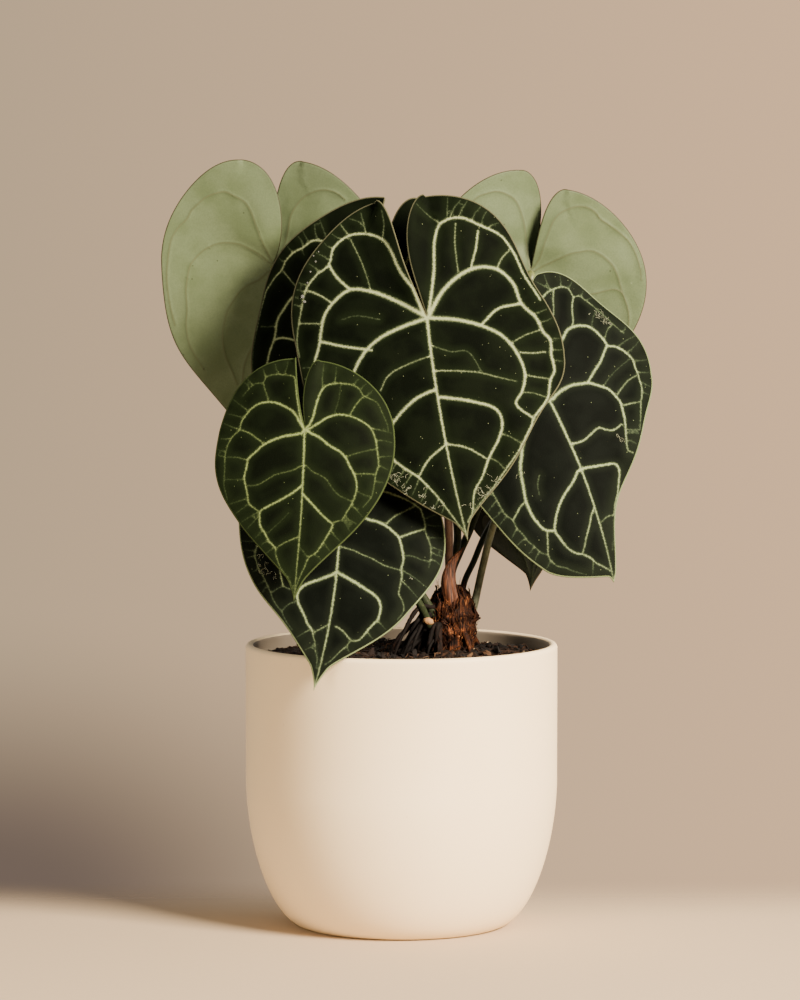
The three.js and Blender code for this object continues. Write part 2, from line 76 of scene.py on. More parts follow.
# The pot, from the solid model
POT_HEIGHT, POT_RADIUS, POT_WALL, POT_FLOOR, FOOT_RADIUS = 136, 75, 4, 7, 48
TURN_HEIGHT, TURN_POWER, LIP_ROUND, CLEARANCE = 70, 1.8, 1.9, 0.3
SOIL_EDGE, SOIL_MOUND = 129, 4.5
STOCK_AT, STOCK_BOTTOM = (24.5, 0), 112
# Rings of the rootstock: height over its bottom and radii; its grown roots: path and end radii
STOCK_RINGS = [(0, 5, 5), (6, 8, 8), (14, 9, 9), (22, 9.2, 9.5), (30, 10.8, 10.5),
               (37, 11.3, 10.5), (44, 9.5, 9), (49, 7, 7), (52, 4, 4)]
ROOTS = [
    ([(31, -3, 146), (35, -4, 147), (38, -4, 148.5)], (1.5, 0.5)),
    ([(20, -7, 142), (15, -11, 136), (10, -13, 126)], (1.5, 1)),
    ([(29, -7, 144), (32, -11, 137), (34, -13, 125)], (1.4, 0.9)),
    ([(30, 5, 143), (36, 9, 136), (39, 11, 126)], (1.5, 1)),
]
# Rings of the bract: middle and radii
BRACT_RINGS = [(25, -7, 149, 2.6, 1.4), (24.4, -7.3, 155, 3.4, 1.6), (23, -7.6, 162, 3.5, 1.5),
               (22.6, -7.6, 169, 3.1, 1.2), (24.2, -7.2, 175, 2.2, 0.9),
               (27.6, -6.5, 180, 1.1, 0.6), (29.8, -6, 182.6, 0.4, 0.4)]

# The blades, from the solid model
BLADE_THICKNESS, SINUS_START, WAVE_REACH, CURL_REACH = 0.8, 1.5, 11, 6
# Each half: where the lobe ends, the widest point, the sinus edge's lean, a point on the flank, and
# the margin's waves (height, number, phase in degrees). s runs across the blade, t from the petiole
# to the tip.
LEAVES = {
    "front_centre": dict(
        joint=(12, -34, 293), tip=(31, -66, 191), face=(0.02, -1, 0.25), tail=(9, 3.6), bend=-2,
        right=dict(lobe=(9, 61), wide=(61, 29), lean=-6, flank=(50, 52), ripple=(2.4, 4, 289)),
        left=dict(lobe=(14, 60), wide=(64, 6), lean=7, flank=(47, 57), ripple=(1.6, 4, 173)),
        droop=3, arch=9, curl=4, lap=0, thick=2.0,
        stalk=[(23, -1, 149), (23.3, -1.5, 162), (22.8, -4, 176), (22.3, -12, 197),
               (17.5, -27, 245)]),
    "front_left": dict(
        joint=(-45, -62, 242), tip=(-50, -88, 165), face=(-0.12, -1, 0.2), tail=(10, 4), bend=1,
        right=dict(lobe=(5, 34), wide=(42, 8), lean=-3, flank=(35, 32), ripple=(0.8, 3, 0)),
        left=dict(lobe=(6, 35), wide=(43, 12), lean=5, flank=(29, 45), ripple=(0.8, 3, 90)),
        droop=3, arch=6, curl=2, lap=0, thick=1.7,
        stalk=[(17, -4, 148), (11, -8, 158), (-2, -13, 182), (-20, -15, 220), (-36, -27, 246),
               (-43, -41, 243.5)]),
    "low_left": dict(
        joint=(-29, -42, 215), tip=(-41, -80, 123), face=(-0.1, -1, 0.3), tail=(11, 4), bend=4,
        right=dict(lobe=(17, 26), wide=(49, 26), lean=1, flank=(34, 61), ripple=(0.7, 3, 293)),
        left=dict(lobe=(20, 28), wide=(51, 11), lean=1, flank=(38, 50), ripple=(1.6, 3, 100)),
        droop=3, arch=6, curl=1, lap=0, thick=1.8,
        stalk=[(17, -5, 136), (12.5, -8, 147.5), (8.6, -12, 156), (-8, -22, 180), (-22, -32, 205)]),
    "right": dict(
        joint=(70, -12, 254), tip=(101, -36, 169), face=(0.2, -1, 0.35), tail=(3, 1.5), bend=3.4,
        right=dict(lobe=(17, 59), wide=(55, -3), lean=1, flank=(14, 54), ripple=(2.5, 4, 47)),
        left=dict(lobe=(21, 53), wide=(54, 21), lean=1, flank=(31, 78), ripple=(1, 4, 5)),
        droop=3, arch=8, curl=1, lap=0, thick=1.8,
        stalk=[(31, 1, 144), (34.6, 2, 153), (39, 3, 172), (44, 1, 192), (58, -2, 228)]),
    "middle_left": dict(
        joint=(-10, 0, 290), tip=(-26, -10, 196), face=(-0.15, -1, 0.1), tail=(10, 2.5), bend=-1,
        right=dict(lobe=(8, 61), wide=(60, 10), lean=-8, flank=(42, 50), ripple=(1.5, 4, 146)),
        left=dict(lobe=(8, 59), wide=(62, 10), lean=9, flank=(47, 51), ripple=(1.3, 4, 142)),
        droop=3, arch=8, curl=2, lap=0, thick=1.9,
        stalk=[(18, 3, 149), (21.5, 4, 160), (25, 4.5, 173), (27, 5.5, 188), (22, 8, 215),
               (10, 9, 240), (-3, 7, 268)]),
    "back_left": dict(
        joint=(-62, 40, 317), tip=(-70, 56, 222), face=(0.05, 1, 0.02), tail=(7, 2.9), bend=-1,
        right=dict(lobe=(20, 50), wide=(55, 4), lean=-7, flank=(45, 44), ripple=(0.6, 4, 127)),
        left=dict(lobe=(9, 51), wide=(55, 3), lean=-6, flank=(40, 46), ripple=(0.8, 4, 133)),
        droop=3, arch=4, curl=1, lap=4, thick=1.9,
        stalk=[(19, 6, 134), (14, 10, 143), (5, 15, 162), (-14, 22, 205), (-34, 29, 250),
               (-53, 35, 292)]),
    "back_right": dict(
        joint=(63, 44, 314), tip=(51, 58, 223), face=(-0.12, 1, 0.02), tail=(10, 2.5), bend=0,
        right=dict(lobe=(11, 48), wide=(52, 3), lean=-6, flank=(40, 46), ripple=(0.8, 3, 240)),
        left=dict(lobe=(12, 42), wide=(57, 8), lean=0, flank=(42, 47), ripple=(1, 3, 300)),
        droop=3, arch=4, curl=1, lap=-3.5, thick=1.9,
        stalk=[(23, 7.5, 150), (24, 10, 168), (28, 13, 178), (33.5, 18, 190), (51, 31, 240),
               (61, 38, 285)]),
    "low_right": dict(
        joint=(68, 44, 220), tip=(64, 56, 156), face=(0.2, 1, -0.1), tail=(8, 3), bend=-1,
        right=dict(lobe=(12, 27), wide=(26, 22), lean=1, flank=(30, 37), ripple=(0.6, 3, 136)),
        left=dict(lobe=(12, 26), wide=(31, 10), lean=1, flank=(13, 37), ripple=(0.8, 3, 114)),
        droop=2, arch=3, curl=1, lap=0, thick=1.5,
        stalk=[(29, 6.5, 148), (30, 8.5, 163), (35, 14, 174), (41, 21, 187), (56, 33, 208)]),
}

# The veins as they are seen in the photograph, picked leaf by leaf. Each row is one vein:
# its half width in millimetres at the root and at the end, then its path in pixels of the 800 by
# 1000 frame as x, y, x, y and so on.
PHOTO_MIDDLE, PHOTO_FOCUS = (400, 500), 4176.415
PHOTO_AT, PHOTO_AIM = np.array([0, -2000, 350.0]), np.array([0, 0, 204.8])
VEINS = {
    ("front_centre", "right"): [
        (0.9, 0.6, 426, 318, 432, 273, 433, 240, 439, 224, 457, 218, 479, 226, 499, 236, 512, 252,
         523, 275, 535, 294, 539, 300),
        (1.3, 0.3, 426, 318, 442, 291, 461, 273, 480, 267, 498, 270, 512, 284, 520, 304, 535, 318,
         542, 332, 549, 341, 550, 355, 553, 371, 549, 380, 546, 398, 532, 419, 529, 432, 522, 443,
         506, 468, 488, 493, 474, 523),
        (1.25, 0.6, 426, 318, 456, 320, 482, 326, 503, 338, 517, 357, 523, 375, 521, 391, 515, 404,
         532, 419),
        (1, 0.4, 436, 397, 471, 402, 494, 409, 501, 421, 499, 435, 487, 460, 481, 476, 473, 492,
         471, 508, 470, 523),
        (0.55, 0.45, 446, 444, 466, 448, 485, 459),
        (0.35, 0.35, 454, 224, 453, 244, 457, 272),
        (0.6, 0.55, 476, 231, 474, 248, 470, 267),
        (0.4, 0.45, 507, 251, 500, 258, 496, 267),
        (0.75, 0.8, 480, 326, 496, 309, 518, 304),
        (0.35, 0.35, 507, 345, 524, 336, 539, 330),
        (0.45, 0.4, 519, 353, 532, 353, 544, 352),
        (0.4, 0.35, 523, 375, 535, 377, 547, 379),
        (0.3, 0.3, 520, 392, 532, 393, 543, 397),
        (0.25, 0.2, 431, 345, 450, 352, 466, 351, 480, 372),
        (0.45, 0.3, 436, 371, 477, 373, 496, 378, 514, 382),
        (0.3, 0.3, 498, 433, 509, 437, 519, 443),
        (0.3, 0.25, 488, 458, 496, 462, 503, 468),
    ],
    ("front_centre", "left"): [
        (1, 0.3, 426, 318, 416, 296, 399, 272, 388, 249, 381, 240, 365, 234, 348, 236, 333, 247,
         327, 265, 314, 276, 305, 290, 300, 309, 297, 327, 296, 345, 298, 358),
        (1.3, 0.7, 426, 318, 395, 302, 372, 293, 349, 290, 333, 302, 323, 316, 319, 336, 317, 348,
         313, 364, 312, 374),
        (1.3, 0.6, 426, 318, 402, 327, 379, 338, 365, 350, 354, 368, 348, 393, 350, 418, 356, 436),
        (1, 0.35, 431, 391, 413, 400, 393, 421, 384, 438, 390, 458, 404, 469, 418, 478, 436, 497,
         454, 520, 462, 532),
        (0.6, 0.5, 444, 446, 427, 460, 418, 476),
        (0.35, 0.4, 427, 357, 411, 363, 388, 375, 379, 391),
        (0.7, 0.8, 327, 265, 336, 278, 349, 290),
        (0.5, 0.5, 305, 290, 319, 296, 330, 303),
        (0.4, 0.4, 297, 324, 308, 324, 319, 324),
        (0.8, 0.7, 319, 342, 340, 346, 370, 350),
        (0.35, 0.3, 348, 238, 360, 263, 370, 291),
        (0.4, 0.2, 381, 240, 382, 223, 380, 210),
        (0.2, 0.15, 378, 320, 354, 316, 340, 320),
        (0.4, 0.2, 365, 234, 360, 213),
        (0.4, 0.2, 348, 236, 336, 221),
        (0.35, 0.3, 391, 421, 366, 400, 348, 393),
        (0.4, 0.35, 384, 438, 371, 443, 356, 436),
    ],
    ("front_left", "right"): [
        (0.8, 0.25, 306, 428, 311, 418, 314, 408, 317, 398, 321, 390, 327, 385, 335, 383, 343, 384,
         351, 385, 357, 389, 362, 396, 369, 399, 376, 404, 381, 414, 386, 425),
        (0.85, 0.3, 306, 430, 316, 424, 325, 418, 333, 416, 340, 415, 348, 416, 356, 419, 364, 424,
         369, 429, 373, 437, 375, 447, 376, 455, 377, 466, 375, 474, 373, 485, 370, 497, 362, 507),
        (0.45, 0.45, 362, 396, 357, 402, 352, 409, 348, 415),
        (1, 0.4, 306, 432, 318, 438, 328, 445, 337, 451, 343, 457, 349, 466, 353, 474, 355, 485,
         354, 495, 351, 502, 346, 511, 340, 520, 335, 522, 331, 524),
        (0.35, 0.3, 375, 449, 362, 452, 344, 457),
        (0.45, 0.4, 375, 475, 365, 474, 355, 474),
        (0.25, 0.25, 354, 490, 362, 494, 370, 497),
        (0.8, 0.35, 301, 494, 310, 503, 319, 513, 327, 521, 331, 525, 328, 533, 322, 543, 315, 552,
         307, 558, 303, 568, 298, 580, 293, 592),
        (0.3, 0.3, 295, 545, 301, 551, 307, 558),
        (0.35, 0.3, 303, 464, 312, 472, 324, 479, 330, 487, 337, 495, 347, 500, 351, 502),
        (0.15, 0.15, 340, 384, 337, 400, 332, 416),
    ],
    ("front_left", "left"): [
        (0.7, 0.25, 302, 428, 300, 418, 299, 405, 298, 394, 296, 384, 292, 377, 285, 375, 277, 374,
         270, 375, 265, 378, 262, 383, 254, 384, 247, 389, 242, 396),
        (0.4, 0.4, 262, 383, 264, 390, 266, 397, 267, 402),
        (0.95, 0.2, 303, 430, 298, 422, 292, 413, 285, 407, 275, 403, 266, 402, 257, 405, 249, 410,
         243, 417, 240, 423, 238, 430, 231, 437, 227, 445, 224, 455, 223, 470, 223, 485, 226, 500),
        (0.5, 0.5, 238, 430, 248, 434, 256, 439, 263, 444),
        (1, 0.5, 303, 433, 293, 435, 283, 437, 273, 440, 263, 445, 254, 452, 247, 459, 245, 467,
         243, 477, 244, 487, 246, 495, 248, 504, 254, 509, 258, 512),
        (0.3, 0.2, 248, 504, 235, 513),
        (0.8, 0.6, 301, 485, 292, 492, 280, 499, 268, 506, 259, 512, 258, 518, 259, 526, 263, 533,
         267, 540, 273, 547, 275, 550),
        (0.4, 0.35, 301, 465, 292, 470, 281, 473, 273, 475, 264, 480, 257, 484, 246, 486),
        (0.5, 0.3, 295, 538, 288, 541, 281, 544, 275, 550, 276, 560, 280, 570, 284, 582, 288, 594),
        (0.4, 0.25, 245, 459, 235, 458, 225, 458),
        (0.25, 0.15, 243, 479, 234, 479, 225, 479),
        (0.15, 0.1, 267, 533, 280, 520, 288, 512),
    ],
    ("right", "right"): [
        (0.8, 0.25, 545, 392, 540, 370, 537, 340, 538, 315, 541, 298, 545, 293, 551, 290, 556, 288,
         561, 287, 566, 288, 569, 291, 572, 297, 577, 296, 584, 300, 590, 305, 595, 309, 601, 314,
         606, 318, 611, 324, 622, 333),
        (0.45, 0.35, 552, 291, 552, 300, 552, 312, 550, 330),
        (0.5, 0.45, 572, 297, 571, 305, 571, 315, 572, 322, 570, 327),
        (1.1, 0.3, 548, 394, 550, 375, 555, 352, 562, 337, 566, 330, 571, 327, 578, 326, 586, 327,
         593, 330, 598, 335, 603, 341, 606, 346, 613, 347, 620, 350, 626, 354, 631, 361, 634, 369,
         636, 375, 638, 380, 640, 387, 640, 395, 639, 402, 639, 412, 639, 422, 638, 430),
        (0.7, 0.7, 606, 346, 603, 352, 598, 362, 593, 371, 588, 380, 586, 383),
        (1.15, 0.4, 549, 401, 556, 394, 563, 389, 571, 386, 579, 384, 586, 384, 593, 385, 600, 387,
         607, 390, 613, 395, 618, 401, 620, 408, 622, 416, 624, 425, 624, 435, 625, 444, 626, 450,
         632, 453),
        (0.4, 0.35, 616, 395, 622, 386, 628, 380, 634, 376),
        (0.5, 0.35, 622, 406, 630, 404, 638, 402),
        (0.3, 0.2, 624, 430, 631, 430, 638, 430),
        (0.2, 0.15, 601, 387, 610, 375, 620, 365, 629, 359),
        (0.2, 0.2, 596, 309, 592, 316, 590, 326),
        (0.35, 0.3, 611, 324, 606, 330, 603, 340),
        (0.6, 0.5, 570, 444, 577, 443, 583, 440, 589, 435, 594, 430, 598, 428, 603, 430, 610, 431,
         616, 428, 620, 425),
        (0.85, 0.3, 579, 469, 587, 468, 596, 466, 605, 465, 612, 464, 616, 466, 618, 472, 618, 480,
         617, 490, 616, 500, 614, 508, 613, 514, 607, 516, 602, 520, 600, 522),
        (0.2, 0.15, 613, 514, 612, 530, 611, 550),
    ],
    ("right", "left"): [
        (1.15, 0.7, 545, 400, 534, 412, 526, 428, 521, 448, 520, 455, 519, 465, 520, 475, 521, 485,
         523, 495, 524, 502, 527, 510, 531, 517, 535, 523, 540, 528, 545, 531, 553, 531),
        (0.5, 0.45, 523, 502, 518, 508, 514, 515, 511, 521),
        (0.5, 0.25, 480, 450, 482, 465, 485, 480, 491, 492, 495, 501, 500, 510, 505, 516, 511, 521,
         515, 528, 521, 535, 527, 542, 533, 547, 539, 553, 545, 555),
        (0.9, 0.5, 545, 400, 528, 400, 512, 405, 497, 418, 485, 435, 480, 450),
        (0.5, 0.15, 545, 531, 546, 540, 546, 550, 547, 556, 550, 562, 556, 566, 563, 568, 570, 571,
         577, 573, 585, 575),
        (0.8, 0.4, 577, 470, 573, 478, 568, 486, 563, 495, 558, 505, 555, 514, 554, 522, 553, 531,
         557, 537, 562, 544, 568, 550, 575, 554, 581, 555, 588, 558, 595, 564, 602, 567, 609, 571),
        (0.55, 0.4, 593, 507, 590, 515, 588, 525, 585, 535, 583, 545, 581, 554),
        (0.25, 0.2, 538, 475, 536, 485, 538, 495),
    ],
    ("low_left", "right"): [
        (1.15, 0.25, 339, 489, 350, 497, 358, 510, 366, 519, 374, 521, 381, 524, 387, 528, 393, 533,
         398, 538, 400, 545, 401, 553, 402, 560, 400, 570, 400, 578, 398, 587, 397, 595, 400, 600,
         402, 607, 401, 613, 396, 620),
        (1, 0.25, 339, 486, 354, 487, 372, 489, 390, 494, 405, 500, 414, 506, 419, 510, 422, 517,
         424, 525, 424, 530, 426, 537, 429, 545, 430, 552, 429, 558, 428, 568),
        (0.5, 0.45, 385, 523, 393, 517, 402, 512, 414, 507),
        (0.65, 0.5, 399, 537, 407, 534, 416, 532, 424, 530),
        (0.3, 0.25, 403, 556, 412, 557, 420, 560, 428, 562),
        (1.1, 0.25, 336, 573, 345, 578, 354, 583, 363, 589, 371, 594, 377, 600, 379, 607, 378, 614,
         376, 620, 371, 625, 366, 631, 361, 637, 356, 641, 350, 641, 345, 646, 338, 652, 330, 660,
         323, 665),
        (0.45, 0.35, 335, 545, 342, 547, 352, 550, 360, 554, 371, 559, 382, 565, 392, 569, 400,
         571),
        (0.5, 0.45, 335, 627, 341, 631, 346, 636, 350, 641),
    ],
    ("low_left", "left"): [
        (0.9, 0.2, 338, 487, 318, 487, 298, 492, 282, 502, 270, 517, 263, 532, 254, 552, 254, 560,
         257, 568, 262, 577, 266, 586, 270, 594, 272, 600, 276, 606, 280, 612, 284, 620, 291, 630),
        (1.1, 0.5, 337, 490, 318, 500, 300, 515, 288, 532, 280, 552, 279, 570, 282, 587),
        (0.35, 0.3, 282, 587, 275, 590, 270, 594),
        (1.05, 0.55, 334, 574, 325, 577, 316, 580, 308, 583, 301, 588, 296, 594, 296, 602, 300, 610,
         303, 617, 306, 624, 310, 630, 312, 634),
        (0.5, 0.25, 333, 622, 325, 626, 318, 630, 312, 634, 313, 642, 314, 650, 315, 657, 315, 668),
        (0.3, 0.25, 295, 602, 288, 605, 281, 611),
        (0.35, 0.3, 282, 587, 290, 590, 296, 594),
    ],
    ("middle_left", "left"): [
        (1, 0.2, 376, 318, 362, 292, 350, 268, 338, 250, 322, 241, 312, 241, 306, 244, 300, 249,
         295, 251, 290, 255, 284, 261, 281, 268, 279, 272, 274, 277, 269, 284, 265, 290, 263, 297,
         260, 307, 258, 318, 254, 330, 252, 345, 250, 360, 249, 375),
        (0.45, 0.45, 281, 270, 287, 277, 292, 283, 296, 288, 304, 296),
        (0.3, 0.1, 300, 249, 303, 255),
        (1.2, 0.5, 376, 320, 350, 305, 325, 292, 304, 292, 292, 297, 286, 303, 282, 310, 278, 317,
         275, 324, 274, 332, 273, 340, 270, 347, 268, 355, 266, 362, 264, 372, 268, 390, 276, 402),
        (0.75, 0.6, 273, 340, 280, 338, 288, 339, 296, 340, 312, 342, 328, 345),
        (0.3, 0.2, 275, 326, 268, 327, 260, 327),
        (1.2, 0.5, 377, 322, 358, 328, 340, 338, 328, 352, 322, 372, 320, 395, 328, 415),
    ],
    ("back_left", "right"): [
        (0.9, 0.2, 271, 262, 268, 256, 262, 243, 255, 225, 250, 212, 243, 202, 233, 195, 225, 192,
         215, 193, 205, 197, 197, 203, 190, 210, 186, 219, 178, 226, 171, 238, 167, 255, 165, 275,
         168, 300, 174, 325),
        (1.1, 0.3, 270, 264, 260, 256, 250, 250, 240, 245, 230, 243, 220, 243, 212, 245, 202, 251,
         194, 258, 189, 266, 186, 278, 185, 290, 186, 310, 185, 325, 188, 342, 194, 355, 203, 370),
        (1.1, 0.4, 268, 270, 258, 279, 246, 285, 237, 293, 231, 301, 226, 311, 223, 322, 221, 335,
         222, 348, 226, 360, 231, 371, 236, 385),
        (0.4, 0.3, 186, 219, 195, 226, 203, 236, 207, 247),
        (0.25, 0.2, 197, 203, 206, 210, 212, 222),
        (0.3, 0.2, 229, 192, 230, 178, 229, 166),
        (0.9, 0.4, 262, 330, 252, 345, 244, 362, 241, 380, 243, 400),
    ],
    ("back_left", "left"): [
        (0.9, 0.5, 273, 262, 281, 250, 286, 232, 290, 215, 295, 205, 302, 197, 311, 192, 322, 190,
         334, 192, 344, 199),
    ],
    ("back_right", "right"): [
        (0.9, 0.3, 528, 268, 526, 255, 525, 240, 523, 225, 519, 210, 513, 200, 505, 194, 495, 191,
         485, 193, 476, 197, 468, 205, 461, 216),
        (0.35, 0.3, 490, 192, 489, 205, 493, 217, 498, 232),
        (1.1, 0.3, 526, 274, 510, 270, 492, 272, 478, 280, 468, 294, 463, 312),
    ],
    ("back_right", "left"): [
        (0.9, 0.25, 531, 269, 538, 258, 543, 245, 547, 232, 552, 221, 558, 213, 566, 209, 576, 206,
         586, 207, 594, 212, 599, 219, 608, 225, 617, 232, 627, 240, 633, 251, 638, 264, 640, 280),
        (1.1, 0.3, 532, 272, 540, 267, 550, 262, 560, 257, 570, 253, 580, 251, 588, 250, 597, 253,
         605, 259, 612, 266, 616, 275, 618, 285, 622, 296, 626, 307, 627, 320, 625, 335),
        (0.35, 0.3, 597, 217, 592, 228, 589, 240, 587, 250),
        (1, 0.3, 532, 276, 548, 286, 568, 292, 588, 294, 603, 291, 613, 289, 620, 292, 624, 300),
    ],
}
# Halves that borrow their net: leaf and half that it comes from
BORROWED_VEINS = {
    ("middle_left", "right"): ("front_centre", "right"),
    ("back_left", "right"): ("front_centre", "right"),
    ("back_left", "left"): ("front_centre", "left"),
    ("back_right", "right"): ("middle_left", "left"),
    ("back_right", "left"): ("front_centre", "right"),
    ("low_right", "right"): ("low_left", "left"),
    ("low_right", "left"): ("front_left", "right"),
}


# Materials
def tint(code):
    """An sRGB hex colour as linear red, green, blue and alpha."""
    parts = [int(code[i:i + 2], 16) / 255 for i in (1, 3, 5)]
    return (*[c / 12.92 if c <= 0.04045 else ((c + 0.055) / 1.055) ** 2.4 for c in parts], 1)


def feed(tree, node, feeds):
    """Sets a node's inputs, each to a value, a hex colour or another node's first live output."""
    for name, value in feeds.items():
        socket = node.inputs[name] if isinstance(name, int) else next(
            s for s in node.inputs if s.name == name and s.enabled)
        if isinstance(value, bpy.types.Node):
            value = next(s for s in value.outputs if s.enabled)
        if isinstance(value, bpy.types.NodeSocket):
            tree.links.new(value, socket)
        else:
            socket.default_value = tint(value) if isinstance(value, str) else value
    return node


def add(tree, kind, feeds=None, stops=(), **settings):
    """Adds one shader node with its settings, its colour stops and its links."""
    made = tree.nodes.new("ShaderNode" + kind)
    for name, value in settings.items():
        setattr(made, name, value)
    for i, (place, code) in enumerate(stops):
        if i >= len(made.color_ramp.elements):
            made.color_ramp.elements.new(place)
        made.color_ramp.elements[i].position = place
        made.color_ramp.elements[i].color = tint(code)
    return feed(tree, made, feeds or {})


SOFT = {"interpolation_type": "SMOOTHSTEP"}
TINTS = {"data_type": "RGBA"}
DARKEN = {"data_type": "RGBA", "blend_type": "MULTIPLY"}


def new_material(name):
    """A material with a bare shader. Its patterns are placed in the object's own metres."""
    material = bpy.data.materials.new(name)
    material.use_nodes = True
    tree = material.node_tree
    tree.nodes.clear()
    skin = add(tree, "BsdfPrincipled")
    add(tree, "OutputMaterial", {"Surface": skin})
    return material, tree, add(tree, "TexCoord").outputs["Object"], skin


def per_mm(size):
    """Scale of a pattern whose features are this many millimetres across."""
    return 1000 / size


def matte_stoneware(name, thin, thick):
    """Cast stoneware with a matte slip: an even, chalky tone, faintly clouded where the slip is
    thicker, with the fine tooth that a sponge leaves."""
    material, tree, where, skin = new_material(name)
    clouds = add(tree, "TexNoise", {"Vector": where, "Scale": per_mm(45), "Detail": 2})
    tooth = add(tree, "TexNoise", {"Vector": where, "Scale": per_mm(0.9), "Detail": 3})
    pits = add(tree, "TexNoise", {"Vector": where, "Scale": per_mm(1.6), "Detail": 2})
    pits = add(tree, "MapRange", {"Value": pits, "From Min": 0.70, "From Max": 0.78,
                                  "To Max": 0.2}, **SOFT)
    body = thin
    for share, over in ((clouds, thick), (pits, "#c9a878")):
        body = add(tree, "Mix", {"Factor": share, "A": body, "B": over}, **TINTS)
    bump = add(tree, "Bump", {"Height": tooth, "Distance": 0.00006, "Strength": 0.35})
    feed(tree, skin, {"Base Color": body, "Roughness": 0.55, "IOR": 1.5,
                      "Specular IOR Level": 0.35, "Normal": bump})
    return material


def bark_mix():
    """Composted bark and fibre, heaped loose: dark compost, deepened to near black between the
    crumbs as painted shade, brown on them.
    """
    material, tree, where, skin = new_material("composted bark mix")
    crumbs = add(tree, "TexNoise", {"Vector": where, "Scale": per_mm(2.2), "Detail": 6,
                                    "Roughness": 0.65})
    grain = add(tree, "TexNoise", {"Vector": where, "Scale": per_mm(0.5), "Detail": 3})
    body = add(tree, "ValToRGB", {"Fac": crumbs}, stops=[
        (0.3, "#0a0704"), (0.5, "#180f09"), (0.68, "#2b1a10")])
    bump = add(tree, "Bump", {"Height": grain, "Distance": 0.0004, "Strength": 0.8})
    feed(tree, skin, {"Base Color": body, "Roughness": 0.92, "Specular IOR Level": 0.2,
                      "Normal": bump})
    return material


def bark_chips():
    """Broken pine bark, dry fibre and pale grit: every crumb has its own tone, and the palest
    crumbs also stand for glints, a painted highlight.
    """
    material, tree, where, skin = new_material("broken pine bark")
    grain = add(tree, "TexNoise", {"Vector": where, "Scale": per_mm(0.6), "Detail": 4,
                                   "Roughness": 0.6})
    tone = add(tree, "Attribute", attribute_name="tone").outputs["Fac"]
    tone = add(tree, "ValToRGB", {"Fac": tone}, stops=[
        (0.0, "#0b0705"), (0.35, "#140c08"), (0.58, "#28180f"), (0.72, "#4d321f"),
        (0.84, "#8a6c4c"), (0.95, "#d8c4a0")])
    body = add(tree, "Mix", {"Factor": grain, "A": tone, "B": "#5a4030"}, **DARKEN)
    bump = add(tree, "Bump", {"Height": grain, "Distance": 0.0003, "Strength": 0.7})
    feed(tree, skin, {"Base Color": body, "Roughness": 0.85, "Specular IOR Level": 0.3,
                      "Normal": bump})
    return material


def old_leaf_bases():
    """Leaf bases dried on the stem: torn fibre, orange brown, darkened by painted shade in patches
    and gaps, with roots painted black as shade and a clean root bud."""
    material, tree, where, skin = new_material("dried fibrous leaf bases")
    drawn_out = add(tree, "Mapping", {"Vector": where, "Scale": (1, 1, 0.16)})
    fibres = add(tree, "TexNoise", {"Vector": drawn_out, "Scale": per_mm(0.8), "Detail": 4,
                                    "Roughness": 0.65})
    patches = add(tree, "TexNoise", {"Vector": where, "Scale": per_mm(5), "Detail": 3})
    patches = add(tree, "MapRange", {"Value": patches, "From Min": 0.36, "From Max": 0.58}, **SOFT)
    body = add(tree, "ValToRGB", {"Fac": fibres}, stops=[
        (0.36, "#0d0704"), (0.46, "#3d2011"), (0.57, "#854a26"), (0.7, "#c98c57")])
    # painted shade for the gaps and dark patches of the leaf bases
    gap_shade = add(tree, "Mix", {"Factor": 0.9, "A": body, "B": "#2a1810"}, **DARKEN)
    body = add(tree, "Mix", {"Factor": patches, "A": body, "B": gap_shade}, **TINTS)
    # each body's own tone: 0 painted shade, 1 as above, below 0 a root painted black as shade,
    # above 2 a clean bud
    tone = add(tree, "Attribute", attribute_name="tone").outputs["Fac"]
    body = add(tree, "Mix", {"Factor": tone, "A": gap_shade, "B": body}, **TINTS)
    for first, last, over in ((-0.1, -1, "#080504"), (1.5, 2.5, "#a07a52")):
        share = add(tree, "MapRange", {"Value": tone, "From Min": first, "From Max": last})
        body = add(tree, "Mix", {"Factor": share, "A": body, "B": over}, **TINTS)
    bump = add(tree, "Bump", {"Height": fibres, "Distance": 0.0006, "Strength": 0.8})
    feed(tree, skin, {"Base Color": body, "Roughness": 0.75, "Specular IOR Level": 0.15,
                      "Normal": bump})
    return material


def papery_bract():
    """Dead papery sheath, thin and ribbed lengthways: warm brown with darker dry streaks."""
    material, tree, where, skin = new_material("dry papery bract")
    drawn_out = add(tree, "Mapping", {"Vector": where, "Scale": (1, 1, 0.08)})
    ribs = add(tree, "TexNoise", {"Vector": drawn_out, "Scale": per_mm(0.7), "Detail": 3,
                                  "Roughness": 0.6})
    body = add(tree, "ValToRGB", {"Fac": ribs}, stops=[
        (0.32, "#1c0e08"), (0.5, "#4b2918"), (0.72, "#8a5634")])
    bump = add(tree, "Bump", {"Height": ribs, "Distance": 0.0004, "Strength": 0.7})
    feed(tree, skin, {"Base Color": body, "Roughness": 0.55, "Specular IOR Level": 0.35,
                      "Normal": bump})
    return material


